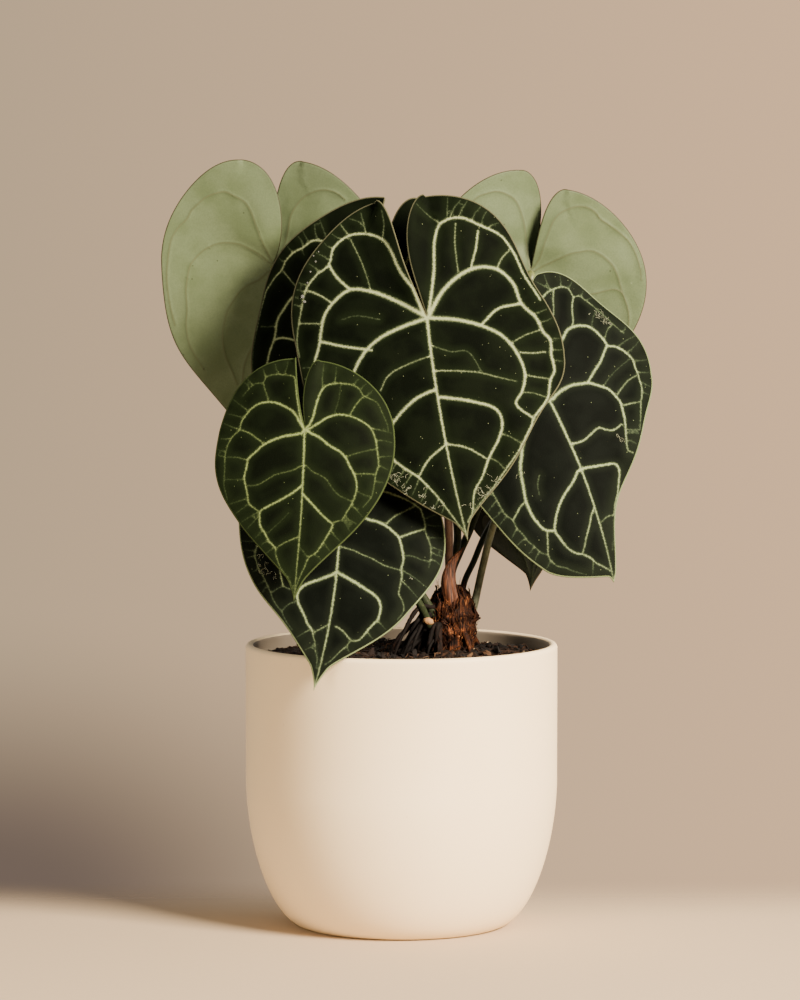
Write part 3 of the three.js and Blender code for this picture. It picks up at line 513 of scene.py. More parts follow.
def living_stalk(name, sheath, bark, joint):
    """Petiole skin, smooth and slightly waxy: its own tone at the sheath, paler at the swollen
    joint, flecked with fine pale pores."""
    material, tree, where, skin = new_material(name)
    along = add(tree, "Attribute", attribute_name="along").outputs["Fac"]
    body = sheath
    for first, last, over in ((0.03, 0.2, bark), (0.86, 0.96, joint)):
        share = add(tree, "MapRange", {"Value": along, "From Min": first, "From Max": last}, **SOFT)
        body = add(tree, "Mix", {"Factor": share, "A": body, "B": over}, **TINTS)
    mottle = add(tree, "TexNoise", {"Vector": where, "Scale": per_mm(2.5), "Detail": 4,
                                    "Roughness": 0.6})
    mottle = add(tree, "MapRange", {"Value": mottle, "From Min": 0.35, "From Max": 0.7,
                                    "To Max": 0.45}, **SOFT)
    body = add(tree, "Mix", {"Factor": mottle, "A": body, "B": "#6b5540"}, **DARKEN)
    pores = add(tree, "TexNoise", {"Vector": where, "Scale": per_mm(0.7), "Detail": 2})
    pores = add(tree, "MapRange", {"Value": pores, "From Min": 0.66, "From Max": 0.74,
                                   "To Max": 0.3}, **SOFT)
    body = add(tree, "Mix", {"Factor": pores, "A": body, "B": "#a29a68"}, **TINTS)
    grain = add(tree, "TexNoise", {"Vector": where, "Scale": per_mm(0.8)})
    bump = add(tree, "Bump", {"Height": grain, "Distance": 0.0001, "Strength": 0.5})
    feed(tree, skin, {"Base Color": body, "Roughness": 0.42, "IOR": 1.45,
                      "Specular IOR Level": 0.3, "Normal": bump})
    return material


def velvet_face(name, deep, lit, outer, outer_share, feather, core, margin, bloom):
    """Upper face of a blade. Velvety cells drink the light and stay near black, greener beside the
    veins, with a painted sheen of a lighter tone in broad patches and on the fine pile; the veins
    have a bright core and frayed edges; the margin is a thin dry line."""
    material, tree, where, skin = new_material(name)
    away, half, edge = (add(tree, "Attribute", attribute_name=label).outputs["Fac"]
                        for label in ("vein_away", "vein_half", "edge"))
    # painted sheen: the lighter tone, mixed in broad patches and on the fine pile
    broad = add(tree, "TexNoise", {"Vector": where, "Scale": per_mm(14), "Detail": 3})
    broad = add(tree, "MapRange", {"Value": broad, "From Min": 0.38, "From Max": 0.66}, **SOFT)
    pile = add(tree, "TexNoise", {"Vector": where, "Scale": per_mm(0.5), "Detail": 2})
    pile_sheen = add(tree, "MapRange", {"Value": pile, "From Min": 0.45, "From Max": 0.8,
                                      "To Max": 0.35}, **SOFT)
    beside = add(tree, "MapRange", {"Value": away, "From Min": 0.5, "From Max": 4.5,
                                    "To Min": 0.42, "To Max": 0.0}, **SOFT)
    outside = add(tree, "MapRange", {"Value": edge, "From Min": 3.0, "From Max": 9.0,
                                     "To Min": outer_share, "To Max": 0.0}, **SOFT)
    # dust: one grain in a few millimetres
    dust = add(tree, "TexVoronoi", {"Vector": where, "Scale": per_mm(3)}).outputs
    grain = add(tree, "MapRange", {"Value": dust["Distance"], "From Min": 0.05, "From Max": 0.085,
                                   "To Min": 0.42, "To Max": 0}, **SOFT)
    kept = add(tree, "Math", {0: dust["Color"], 1: 0.6}, operation="GREATER_THAN")
    grain = add(tree, "Math", {0: grain, 1: kept}, operation="MULTIPLY")
    cells = deep
    for share, over in ((broad, lit), (pile_sheen, lit), (beside, outer), (outside, outer),
                        (grain, core)):
        cells = add(tree, "Mix", {"Factor": share, "A": cells, "B": over}, **TINTS)
    # frayed threads run out of the vein over about a millimetre
    threads = add(tree, "TexNoise", {"Vector": where, "Scale": per_mm(0.9), "Detail": 3,
                                     "Roughness": 0.6})
    frayed = add(tree, "Math", {0: threads, 1: 1.3, 2: away}, operation="MULTIPLY_ADD")
    full = add(tree, "Math", {0: half, 1: 0.12, 2: 0.36}, operation="MULTIPLY_ADD")
    ends = add(tree, "Math", {0: half, 1: 1.2, 2: 1.2}, operation="MULTIPLY_ADD")
    pale = add(tree, "MapRange", {"Value": frayed, "From Min": full, "From Max": ends,
                                  "To Min": 1, "To Max": 0}, **SOFT)
    strength = add(tree, "MapRange", {"Value": half, "From Min": 0.1, "From Max": 0.75,
                                      "To Min": 0.45}, **SOFT)
    share = add(tree, "Math", {0: pale, 1: strength}, operation="MULTIPLY")
    veins = add(tree, "ValToRGB", {"Fac": share},
                stops=[(0.0, outer), (0.42, feather), (0.95, core)])
    body = add(tree, "Mix", {"Factor": share, "A": cells, "B": veins}, **TINTS)
    dry = add(tree, "MapRange", {"Value": edge, "From Min": 0.3, "From Max": 0.75,
                                 "To Min": 0.85, "To Max": 0.0}, **SOFT)
    body = add(tree, "Mix", {"Factor": dry, "A": body, "B": margin}, **TINTS)
    relief = add(tree, "Math", {0: pale, 1: pile}, operation="ADD")
    bump = add(tree, "Bump", {"Height": relief, "Distance": 0.00015, "Strength": 0.5})
    feed(tree, skin, {"Base Color": body, "Roughness": 0.65, "IOR": 1.42,
                      "Specular IOR Level": bloom, "Normal": bump})
    return material


def pale_face(name, wax, cloud, rib, shade):
    """Under side of a blade: pale wax over green, thin ribs with a painted shadow line along them,
    a dark dry margin and pin-prick scars."""
    material, tree, where, skin = new_material(name)
    away, edge = (add(tree, "Attribute", attribute_name=label).outputs["Fac"]
                  for label in ("rib_away", "edge"))
    clouds = add(tree, "TexNoise", {"Vector": where, "Scale": per_mm(18), "Detail": 3})
    clouds = add(tree, "MapRange", {"Value": clouds, "From Min": 0.35, "From Max": 0.7}, **SOFT)
    grain = add(tree, "TexNoise", {"Vector": where, "Scale": per_mm(0.8), "Detail": 3})
    mottle = add(tree, "MapRange", {"Value": grain, "From Min": 0.35, "From Max": 0.7,
                                    "To Max": 0.2}, **SOFT)
    scars = add(tree, "TexVoronoi", {"Vector": where, "Scale": per_mm(7)}).outputs
    scar = add(tree, "MapRange", {"Value": scars["Distance"], "From Min": 0.045,
                                  "From Max": 0.075, "To Min": 0.6, "To Max": 0.0}, **SOFT)
    kept = add(tree, "Math", {0: scars["Color"], 1: 0.5}, operation="GREATER_THAN")
    scar = add(tree, "Math", {0: scar, 1: kept}, operation="MULTIPLY")
    # beside: a painted shadow along each rib, in the same colour that the mottle uses
    beside, ridge, dry = (
        add(tree, "MapRange", {"Value": value, "From Min": first, "From Max": last,
                               "To Min": most, "To Max": 0.0}, **SOFT)
        for value, first, last, most in ((away, 0.4, 0.9, 0.25), (away, 0.15, 0.45, 0.85),
                                         (edge, 0.25, 0.6, 0.85)))
    body = wax
    for share, over in ((clouds, cloud), (mottle, shade), (beside, shade), (ridge, rib),
                        (scar, "#232a1a"), (dry, "#2c281a")):
        body = add(tree, "Mix", {"Factor": share, "A": body, "B": over}, **TINTS)
    bump = add(tree, "Bump", {"Height": grain, "Distance": 0.0001, "Strength": 0.4})
    feed(tree, skin, {"Base Color": body, "Roughness": 0.6, "IOR": 1.42,
                      "Specular IOR Level": 0.3, "Normal": bump})
    return material


# Mesh helpers
def smooth(x):
    k = np.clip(x, 0, 1)
    return k * k * (3 - 2 * k)


def form(name, node, points, faces, materials, choice=None, carried=None, sharp=False):
    """Makes one piece of the plant from points in millimetres and lets it stand for a CAD node."""
    mesh = bpy.data.meshes.new(name)
    mesh.from_pydata([tuple(p) for p in np.asarray(points) * MM], [], [tuple(f) for f in faces])
    for material in materials:
        mesh.materials.append(material)
    if choice is not None:
        mesh.polygons.foreach_set("material_index", np.asarray(choice, dtype=np.int32))
    for label, values in (carried or {}).items():
        mesh.attributes.new(label, "FLOAT", "POINT").data.foreach_set(
            "value", np.asarray(values, dtype=np.float32))
    mesh.polygons.foreach_set("use_smooth", np.full(len(mesh.polygons), not sharp))
    mesh.update()
    piece = placed(name, mesh)
    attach(piece, "root")
    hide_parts(node)
    return piece


def run_along(line):
    """How far along a flat line each of its points lies."""
    return np.concatenate([[0], np.cumsum(np.hypot(*np.diff(line, axis=0).T))])


def evenly(line, run, count):
    """The same line in this many even steps, where run is how far along it each point lies."""
    at = np.linspace(0, run[-1], count + 1)
    return np.stack([np.interp(at, run, line[:, c]) for c in range(line.shape[1])], -1)


CURVE_STEPS = 16


def curve_through(path, step):
    """Points about a step apart on a centripetal Catmull-Rom curve through the path."""
    p = np.asarray(path, float)
    if len(p) == 2:
        count = max(1, round(np.linalg.norm(p[1] - p[0]) / step))
        return p[0] + (p[1] - p[0]) * np.linspace(0, 1, count + 1)[:, None]
    q = np.concatenate([[2 * p[0] - p[1]], p, [2 * p[-1] - p[-2]]])
    knots = np.concatenate([[0], np.cumsum(np.maximum(
        np.linalg.norm(np.diff(q, axis=0), axis=1), 1e-6) ** 0.5)])
    fine = []
    for i in range(1, len(q) - 2):
        t0, t1, t2, t3 = knots[i - 1:i + 3]
        t = np.linspace(t1, t2, CURVE_STEPS + 1)[:-1, None]
        a1 = (t1 - t) / (t1 - t0) * q[i - 1] + (t - t0) / (t1 - t0) * q[i]
        a2 = (t2 - t) / (t2 - t1) * q[i] + (t - t1) / (t2 - t1) * q[i + 1]
        a3 = (t3 - t) / (t3 - t2) * q[i + 1] + (t - t2) / (t3 - t2) * q[i + 2]
        b1 = (t2 - t) / (t2 - t0) * a1 + (t - t0) / (t2 - t0) * a2
        b2 = (t3 - t) / (t3 - t1) * a2 + (t - t1) / (t3 - t1) * a3
        fine.append((t2 - t) / (t2 - t1) * b1 + (t - t1) / (t2 - t1) * b2)
    fine = np.concatenate(fine + [p[-1:]])
    run = np.concatenate([[0], np.cumsum(np.linalg.norm(np.diff(fine, axis=0), axis=1))])
    return evenly(fine, run, max(1, round(run[-1] / step)))


def bands(rings, sides):
    """Faces between rings of points that follow one another."""
    return [(i * sides + k, i * sides + (k + 1) % sides, (i + 1) * sides + (k + 1) % sides,
             (i + 1) * sides + k) for i in range(rings - 1) for k in range(sides)]


def closed_bands(rings, sides):
    """The same, with a face over the first ring and over the last."""
    return bands(rings, sides) + [tuple(reversed(range(sides))),
                                  tuple(range((rings - 1) * sides, rings * sides))]


def tube(path, radii, sides):
    """Points and faces of a closed round tube; the path is already as fine as it has to be."""
    path = np.asarray(path, float)
    ahead = np.gradient(path, axis=0)
    ahead /= np.linalg.norm(ahead, axis=1)[:, None]
    side = np.cross(ahead[0], (0.3, 0.9, 0.2))
    points = []
    for centre, forward, radius in zip(path, ahead, radii):
        side = side - forward * (side @ forward)
        side /= np.linalg.norm(side)
        other = np.cross(forward, side)
        for k in range(sides):
            a = TURN * k / sides
            points.append(centre + radius * (math.cos(a) * side + math.sin(a) * other))
    return points, closed_bands(len(path), sides)


class Heap:
    """Collects many small bodies into one mesh."""

    def __init__(self):
        self.points, self.faces, self.tones = [], [], []

    def put(self, points, faces, tone):
        start = len(self.points)
        self.points += [tuple(p) for p in points]
        self.faces += [tuple(start + i for i in f) for f in faces]
        self.tones += [tone] * len(points)


# Pot
def outer_radius(z):
    k = np.clip((TURN_HEIGHT - z) / TURN_HEIGHT, 0, 1)
    return POT_RADIUS - (POT_RADIUS - FOOT_RADIUS) * (1 - (1 - k ** TURN_POWER) ** (1 / TURN_POWER))


def inner_radius(z):
    return outer_radius(z) - POT_WALL


def turned(profile, segments, name, node, materials, second_from):
    """A closed body turned round the pot's axis from (radius, height) pairs, ends on the axis. The
    second material starts at the pair with that number."""
    angles = [TURN * i / segments for i in range(segments)]
    points, faces, choice = [(0, 0, profile[0][1]), (0, 0, profile[-1][1])], [], []
    rings = profile[1:-1]
    for r, z in rings:
        points += [(r * math.cos(a), r * math.sin(a), z) for a in angles]
    for k in range(segments):
        j = (k + 1) % segments
        faces.append((0, 2 + j, 2 + k))
        for i in range(len(rings) - 1):
            base = 2 + i * segments
            faces.append((base + k, base + j, base + segments + j, base + segments + k))
        base = 2 + (len(rings) - 1) * segments
        faces.append((base + k, base + j, 1))
        choice += [int(i >= second_from) for i in range(len(rings) + 1)]
    return form(name, node, points, faces, materials, choice)


def pot():
    turn = [TURN_HEIGHT * (1 - math.cos(i / 40 * math.pi / 2)) for i in range(41)]
    outside = [(float(outer_radius(z)), z) for z in turn]
    outside[0] = (FOOT_RADIUS, 0.35)
    outside = [(20, 0), (FOOT_RADIUS - 1.5, 0), (FOOT_RADIUS - 0.4, 0.1), *outside,
               (POT_RADIUS, 100), (POT_RADIUS, 128), (POT_RADIUS, POT_HEIGHT - LIP_ROUND - 1.2)]
    rim = POT_WALL / 2
    lip = [(POT_RADIUS - rim + rim * math.cos(a), POT_HEIGHT - LIP_ROUND + LIP_ROUND * math.sin(a))
           for a in (math.pi * i / 10 for i in range(11))]
    inside = [(POT_RADIUS - POT_WALL, POT_HEIGHT - LIP_ROUND - 1.2), (POT_RADIUS - POT_WALL, 110)]
    inside += [(float(inner_radius(z)), z) for z in reversed(turn) if z > POT_FLOOR + 1]
    inside += [(float(inner_radius(POT_FLOOR)) - 1, POT_FLOOR), (20, POT_FLOOR)]
    slip = matte_stoneware("matte cream stoneware", "#f9e2b7", "#fce8c2")
    # the inside of the pot is a darker grey than the slip: painted shade under the leaves
    bare = matte_stoneware("grey stoneware inside in painted shade", "#8d8273", "#968b7b")
    turned([(0, 0), *outside, *lip, *inside, (0, POT_FLOOR)], 160, "pot_body", "pot",
           [slip, bare], len(outside) + len(lip) - 2)


# Potting mix
def mound(x, y):
    away = (x - STOCK_AT[0]) ** 2 + (y - STOCK_AT[1]) ** 2
    return SOIL_EDGE + SOIL_MOUND * np.exp(-away / 900)


def ripples(x, y, seed, sizes, heights):
    """Slow random swell: sums of sines whose lengths and heights are in millimetres."""
    draw = random.Random(seed)
    total = 0
    for size, height in zip(sizes, heights):
        for _ in range(3):
            a, phase = draw.uniform(0, TURN), draw.uniform(0, TURN)
            total = total + height / 3 * np.sin(
                TURN / size * (x * math.cos(a) + y * math.sin(a)) + phase)
    return total


def lumps(x, y):
    """The swell of the mix's surface between its crumbs."""
    return ripples(x, y, 3, (14, 6, 2.6), (1.0, 0.9, 0.7))


CRUMBS, CRUMB_SHAPES, CRUMB_CORNERS, PALE_CRUMBS, LOOSE_FIBRES = 1500, 14, 13, 0.06, 260


def potting_mix():
    draw = random.Random(5)
    segments, rings = 150, 48
    reach = POT_RADIUS - POT_WALL - CLEARANCE
    points = []
    for i in range(rings, 0, -1):
        r = reach * i / rings
        for k in range(segments):
            a = TURN * (k + 0.5 * (i % 2)) / segments
            x, y = r * math.cos(a), r * math.sin(a)
            lump = float(lumps(x, y)) + draw.uniform(-0.35, 0.35)
            points.append((x, y, float(mound(x, y)) + lump * min(1, (reach - r) / 3 + 0.25)))
    faces = bands(rings, segments)
    points.append((0, 0, float(mound(0, 0))))
    top = len(points) - 1
    last = (rings - 1) * segments
    faces += [(last + k, last + (k + 1) % segments, top) for k in range(segments)]
    # the sides and the bottom, hidden by the pot
    heights = [110, TURN_HEIGHT, 50, 34, 20, 11, POT_FLOOR + CLEARANCE]
    above = list(range(segments))
    for z in heights:
        r = float(inner_radius(z)) - CLEARANCE - (2 if z == heights[-1] else 0)
        start = len(points)
        points += [(r * math.cos(TURN * k / segments), r * math.sin(TURN * k / segments), z)
                   for k in range(segments)]
        below = list(range(start, start + segments))
        faces += [(above[k], below[k], below[(k + 1) % segments], above[(k + 1) % segments])
                  for k in range(segments)]
        above = below
    faces.append(tuple(reversed(above)))
    form("potting_mix_bed", "soil", points, faces, [bark_mix()])

    heap = Heap()
    shapes = []
    for _ in range(CRUMB_SHAPES):
        body = bmesh.new()
        for _ in range(CRUMB_CORNERS):
            v = Vector([draw.gauss(0, 1) for _ in range(3)]).normalized()
            v = v * draw.uniform(0.75, 1.0)
            body.verts.new((v.x, v.y * draw.uniform(0.6, 0.9), v.z * draw.uniform(0.35, 0.6)))
        hull = bmesh.ops.convex_hull(body, input=body.verts)
        bmesh.ops.delete(body, geom=[e for e in hull["geom_interior"]
                                     if isinstance(e, bmesh.types.BMVert)], context="VERTS")
        body.verts.index_update()
        shapes.append((np.array([v.co[:] for v in body.verts]),
                       [[v.index for v in f.verts] for f in body.faces]))
        body.free()

    def spot(near=0):
        while True:
            r, a = reach * math.sqrt(draw.random()), draw.uniform(0, TURN)
            x, y = r * math.cos(a), r * math.sin(a)
            if r < reach - near - 1 and math.hypot(x - STOCK_AT[0], y - STOCK_AT[1]) > 8 + near:
                return x, y

    for _ in range(CRUMBS):
        size = 0.7 + 2.6 * draw.random() ** 2.2
        x, y = spot(size)
        cloud, sides = shapes[draw.randrange(len(shapes))]
        a, lean, roll = draw.uniform(0, TURN), draw.gauss(0, 0.5), draw.gauss(0, 0.5)
        turn = np.array([[math.cos(a), -math.sin(a), 0], [math.sin(a), math.cos(a), 0], [0, 0, 1]])
        tip = np.array([[1, 0, 0], [0, math.cos(lean), -math.sin(lean)],
                        [0, math.sin(lean), math.cos(lean)]])
        tilt = np.array([[math.cos(roll), 0, math.sin(roll)], [0, 1, 0],
                         [-math.sin(roll), 0, math.cos(roll)]])
        z = float(mound(x, y) + lumps(x, y))
        pale = draw.random() < PALE_CRUMBS
        tone = draw.uniform(0.86, 1) if pale else draw.random() ** 1.6 * 0.78
        stretch = np.array([draw.uniform(1, 1.7), 1, draw.uniform(0.7, 1.1)])
        if pale:
            size, stretch = min(size, 1.1), np.ones(3)
        body = (cloud * stretch * size) @ (turn @ tip @ tilt).T + (x, y, z + size * 0.15)
        heap.put(body, sides, tone)
    for _ in range(LOOSE_FIBRES):
        x, y = spot(3)
        a, length = draw.uniform(0, TURN), draw.uniform(4, 15)
        path, lift = [], draw.uniform(0.4, 1.4)
        for i in range(9):
            k = i / 8
            path.append((x, y, float(mound(x, y) + lumps(x, y))
                         + lift * (0.6 + math.sin(math.pi * k))))
            a += draw.gauss(0, 0.28)
            x, y = x + length / 8 * math.cos(a), y + length / 8 * math.sin(a)
            if math.hypot(x, y) > reach - 1.5:
                break
        if len(path) < 4:
            continue
        width = draw.uniform(0.12, 0.32)
        radii = [width * (1 - 0.5 * i / len(path)) for i in range(len(path))]
        heap.put(*tube(path, radii, 5), draw.uniform(0.35, 0.8))
    form("potting_mix_crumbs", "soil", heap.points, heap.faces, [bark_chips()],
         carried={"tone": heap.tones}, sharp=True)


# Rootstock and bract
def stock_radius(z, a):
    """Radius of the rootstock at a height and an angle, with the ridges of its old leaf bases."""
    heights = [STOCK_BOTTOM + h for h, _, _ in STOCK_RINGS]
    rx = np.interp(z, heights, [r for _, r, _ in STOCK_RINGS])
    ry = np.interp(z, heights, [r for _, _, r in STOCK_RINGS])
    flat = 1 / math.hypot(math.cos(a) / rx, math.sin(a) / ry)
    ridge = 0.45 * math.sin(7 * a + z * 0.23) + 0.35 * math.sin(17 * a - z * 0.11 + 1.3)
    ring = 0.5 * math.sin(z * 0.9 + 2 * math.sin(a * 2))
    return float(flat + ridge + ring - 0.4)


def round_stem(a, rad, z):
    """The point at an angle and a distance from the rootstock's axis."""
    return STOCK_AT[0] + rad * math.cos(a), STOCK_AT[1] + rad * math.sin(a), z


def uneven(draw, start, end, count):
    """Radii of a root that tapers, a little uneven."""
    return [start + (end - start) * k + draw.uniform(-0.12, 0.12) for k in np.linspace(0, 1, count)]


BASE_FLAPS, STEM_FIBRES, DARK_ROOTS, FRONT_ROOTS = 44, 420, 36, 7
FLAP_THICKNESS = 0.45


def rootstock():
    draw = random.Random(11)
    sides, heap = 72, Heap()
    top = STOCK_BOTTOM + STOCK_RINGS[-1][0]
    levels = np.linspace(STOCK_BOTTOM, top, 60)
    points = []
    for z in levels:
        for k in range(sides):
            a = TURN * k / sides
            r = stock_radius(z, a) + draw.uniform(-0.18, 0.18)
            points.append(round_stem(a, r, z))
    heap.put(points, closed_bands(len(levels), sides), 0.2)
    # ragged flaps of old leaf bases, wrapped round the stem and standing off at their tips
    for i in range(BASE_FLAPS):
        a0 = draw.uniform(0, TURN)
        z0, tall = draw.uniform(122, 152), draw.uniform(6, 14)
        wide = draw.uniform(0.2, 0.55)
        rows, columns = 8, 7
        outer, skin = [], []
        for r in range(rows + 1):
            k = r / rows
            z = z0 + tall * k
            for c in range(columns + 1):
                u = c / columns * 2 - 1
                narrow = 1 - k ** 1.6 * draw.uniform(0.75, 0.95)
                a = a0 + wide * u * narrow + 0.12 * math.sin(5 * k + i)
                level = min(z, top - 3)
                lift = 0.35 + 1.6 * k ** 2 + 0.3 * draw.random()
                rad = stock_radius(level, a) * (1 if z <= top - 3 else 0.9) + lift
                outer.append(round_stem(a, rad, z + draw.uniform(-0.4, 0.4)))
                skin.append(round_stem(a, rad - FLAP_THICKNESS, z))
        n, w = len(outer), columns + 1
        sheet = []
        for r in range(rows):
            for c in range(columns):
                q = (r * w + c, r * w + c + 1, (r + 1) * w + c + 1, (r + 1) * w + c)
                sheet += [q, tuple(n + v for v in reversed(q))]
        loop = (list(range(w)) + [r * w + columns for r in range(1, rows + 1)]
                + [rows * w + c for c in range(columns - 1, -1, -1)]
                + [r * w for r in range(rows - 1, 0, -1)])
        sheet += [(loop[(j + 1) % len(loop)], v, n + v, n + loop[(j + 1) % len(loop)])
                  for j, v in enumerate(loop)]
        heap.put(outer + skin, sheet, draw.uniform(0.2, 1.0))
    # loose fibres
    for _ in range(STEM_FIBRES):
        a, z = draw.uniform(0, TURN), draw.uniform(124, 156)
        path, length = [], draw.uniform(4, 14)
        drift, off = draw.gauss(0, 0.35), draw.uniform(0.2, 0.8)
        for j in range(8):
            k = j / 7
            level = z + length * k * draw.uniform(0.92, 1.0)
            rad = stock_radius(min(level, top - 2), a) + off + 1.1 * k * k * draw.uniform(0.2, 1.4)
            path.append(round_stem(a + drift * k, rad, level))
        width = draw.uniform(0.1, 0.24)
        heap.put(*tube(path, [width * (1 - 0.6 * j / 7) for j in range(8)], 4),
                 draw.uniform(0.3, 1.0))
    for path, (start, end) in ROOTS:
        fine = curve_through(path, 0.9)
        heap.put(*tube(fine, uneven(draw, start, end, len(fine)), 12), 0.45)
    # dark aerial roots that fan out to the left and front, down into the mix; their black is
    # painted shade
    for i in range(DARK_ROOTS):
        x0, y0, z0 = draw.uniform(15, 22), draw.uniform(-7, 6), draw.uniform(136, 158)
        x1, y1 = draw.uniform(-8, 15), draw.uniform(-17, 12)
        if i >= DARK_ROOTS - FRONT_ROOTS:
            x0, y0, z0, x1, y1 = 15 + i / 10, -11, 145, draw.uniform(10, 20), -17
        path = [(x0, y0, z0), ((x0 * 2 + x1) / 3, (y0 + y1) / 2, z0 - draw.uniform(-1, 5)),
                ((x0 + x1 * 3) / 4, y1 + draw.uniform(-2, 2), (z0 + 130) / 2 - 2), (x1, y1, 126)]
        fine = curve_through(path, 1.1)
        start, end = draw.uniform(0.9, 1.8), draw.uniform(0.4, 0.9)
        heap.put(*tube(fine, uneven(draw, start, end, len(fine)), 9),
                 draw.choice([-1, -1, -0.9, -0.7]))
    # a clean root bud below the left petiole
    heap.put(*tube([(10.3, -13.5, 147.4), (11.3, -13.8, 147.8), (12.8, -14, 147.8),
                    (14.3, -14, 147.2), (15.2, -13.6, 146.4)], [0.5, 1.5, 1.9, 1.5, 0.5], 14), 3.0)
    form("rootstock_fibres", "rootstock", heap.points, heap.faces, [old_leaf_bases()],
         carried={"tone": heap.tones})


def bract():
    rings = np.array(BRACT_RINGS, float)
    fine = curve_through(rings, 0.9)
    sides, points = 40, []
    for x, y, z, rx, ry in fine:
        for k in range(sides):
            a = TURN * k / sides
            rib = 1 + 0.055 * math.sin(13 * a) + 0.05 * math.sin(5 * a + z * 0.3)
            fold = 1 - 0.25 * math.exp(-((a - 5.2) / 0.3) ** 2)
            points.append((x + rx * rib * fold * math.cos(a), y + ry * rib * fold * math.sin(a), z))
    form("papery_bract", "dry_bract", points, closed_bands(len(fine), sides),
         [papery_bract()])


# Blades
def bezier(handles, steps):
    p = np.asarray(handles, float)
    t = np.linspace(0, 1, steps + 1)[:, None]
    return ((1 - t) ** 3 * p[0] + 3 * t * (1 - t) ** 2 * p[1] + 3 * t * t * (1 - t) * p[2]
            + t ** 3 * p[3])


ARC_STEPS = 28


def half_outline(side, length, tail):
    """Margin of one half from the sinus round the lobe to the tip, its shares of the margin's
    length, and the share at which the sinus edge ends."""
    (lobe_s, lobe_t), (wide_s, wide_t) = side["lobe"], side["wide"]
    flank_s, flank_t = side["flank"]
    tail_length, tail_width = tail
    neck, lean = length - tail_length, side["lean"]
    fullness, pull = 0.55, 0.36
    heading = np.array([tail_width - wide_s, neck - wide_t])
    heading = heading / np.hypot(*heading)
    upper = pull * math.hypot(flank_s - wide_s, flank_t - wide_t)
    lower = pull * math.hypot(tail_width - flank_s, neck - flank_t)
    turn_s, turn_t = -tail_width * 0.5, tail_length * 0.35
    arcs = [
        [(0, -SINUS_START), (lean, -0.42 * lobe_t), (lean + 0.25 * (lobe_s - lean), -lobe_t),
         (lobe_s, -lobe_t)],
        [(lobe_s, -lobe_t), (lobe_s + fullness * (wide_s - lobe_s), -lobe_t),
         (wide_s, wide_t - fullness * (wide_t + lobe_t)), (wide_s, wide_t)],
        [(wide_s, wide_t), (wide_s, wide_t + upper),
         (flank_s - heading[0] * upper, flank_t - heading[1] * upper), (flank_s, flank_t)],
        [(flank_s, flank_t), (flank_s + heading[0] * lower, flank_t + heading[1] * lower),
         (tail_width - turn_s, neck - turn_t), (tail_width, neck)],
        [(tail_width, neck), (tail_width + turn_s, neck + turn_t),
         (0.5, length - tail_length * 0.3), (0, length)],
    ]
    line = np.concatenate([bezier(a, ARC_STEPS)[(1 if i else 0):] for i, a in enumerate(arcs)])
    run = run_along(line)
    share = run / run[-1]
    height, count, phase = side["ripple"]
    heading = np.empty_like(line)
    heading[1:-1] = line[2:] - line[:-2]
    heading[0], heading[-1] = line[1] - line[0], line[-1] - line[-2]
    heading /= np.hypot(*heading.T)[:, None]
    out = height * np.sin(TURN * count * share + math.radians(phase)) * np.sin(math.pi * share)
    line = line + np.stack([heading[:, 1], -heading[:, 0]], -1) * out[:, None]
    return line, share, share[ARC_STEPS]


def nearest(line, spots):
    """For each spot the distance to a polyline, the nearest segment and the share along it."""
    a, step = line[:-1], np.diff(line, axis=0)
    best = np.full(len(spots), np.inf)
    index = np.zeros(len(spots), int)
    part = np.zeros(len(spots))
    for first in range(0, len(spots), 2000):
        q = spots[first:first + 2000, None]
        k = np.clip(((q - a) * step).sum(-1) / ((step ** 2).sum(-1) + 1e-9), 0, 1)
        d = np.linalg.norm(q - a - k[..., None] * step, axis=-1)
        i = d.argmin(1)
        rows = np.arange(len(i))
        best[first:first + 2000] = d[rows, i]
        index[first:first + 2000] = i
        part[first:first + 2000] = k[rows, i]
    return best, index, part


def inside(loop, spots):
    """Which spots lie inside a closed polygon."""
    x, y = spots.T
    result = np.zeros(len(spots), bool)
    for (ax, ay), (bx, by) in zip(loop, np.roll(loop, -1, axis=0)):
        crosses = (ay > y) != (by > y)
        with np.errstate(divide="ignore", invalid="ignore"):
            result ^= crosses & (x < (bx - ax) * (y - ay) / (by - ay) + ax)
    return result


def blade_height(leaf, side, outline, length, s, t, sign):
    """Height over the blade's own plane, as in the solid model, and the distance to the margin."""
    line, share, sinus_share = outline
    edge, index, part = nearest(line, np.stack([s, t], -1))
    at = share[index] + part * (share[index + 1] - share[index])
    height, count, phase = side["ripple"]
    h = -leaf["arch"] * (s / side["wide"][0]) ** 2
    h = h - np.where(t > 0, leaf["droop"] * (t / length) ** 2, 0)
    h = h + (1.3 * height * np.cos(TURN * count * at + math.radians(phase)) * np.sin(math.pi * at)
             * np.exp(-(edge / WAVE_REACH) ** 2) * smooth(np.abs(s) / 12))
    rise = np.where(t < 0, smooth(-t / 14), 0)
    h = h + np.where(at < sinus_share, leaf["curl"] * np.exp(-(edge / CURL_REACH) ** 2) * rise, 0)
    h = h - sign * leaf["lap"] * rise * np.exp(-(s / 18) ** 2)
    on_midrib = np.abs(s) < 1e-3
    return np.where(on_midrib, np.where(t > 0, -leaf["droop"] * (t / length) ** 2, 0), h), edge


def blade_frame(leaf):
    joint, tip = np.array(leaf["joint"], float), np.array(leaf["tip"], float)
    along = tip - joint
    length = np.linalg.norm(along)
    along /= length
    normal = np.array(leaf["face"], float)
    normal -= along * (normal @ along)
    normal /= np.linalg.norm(normal)
    return joint, along, normal, np.cross(normal, along), length


def cage(line, length):
    """Margin and midrib of a half blade as one closed polygon."""
    return np.concatenate([line, [(0, length * k) for k in np.linspace(0.95, 0, 20)]])


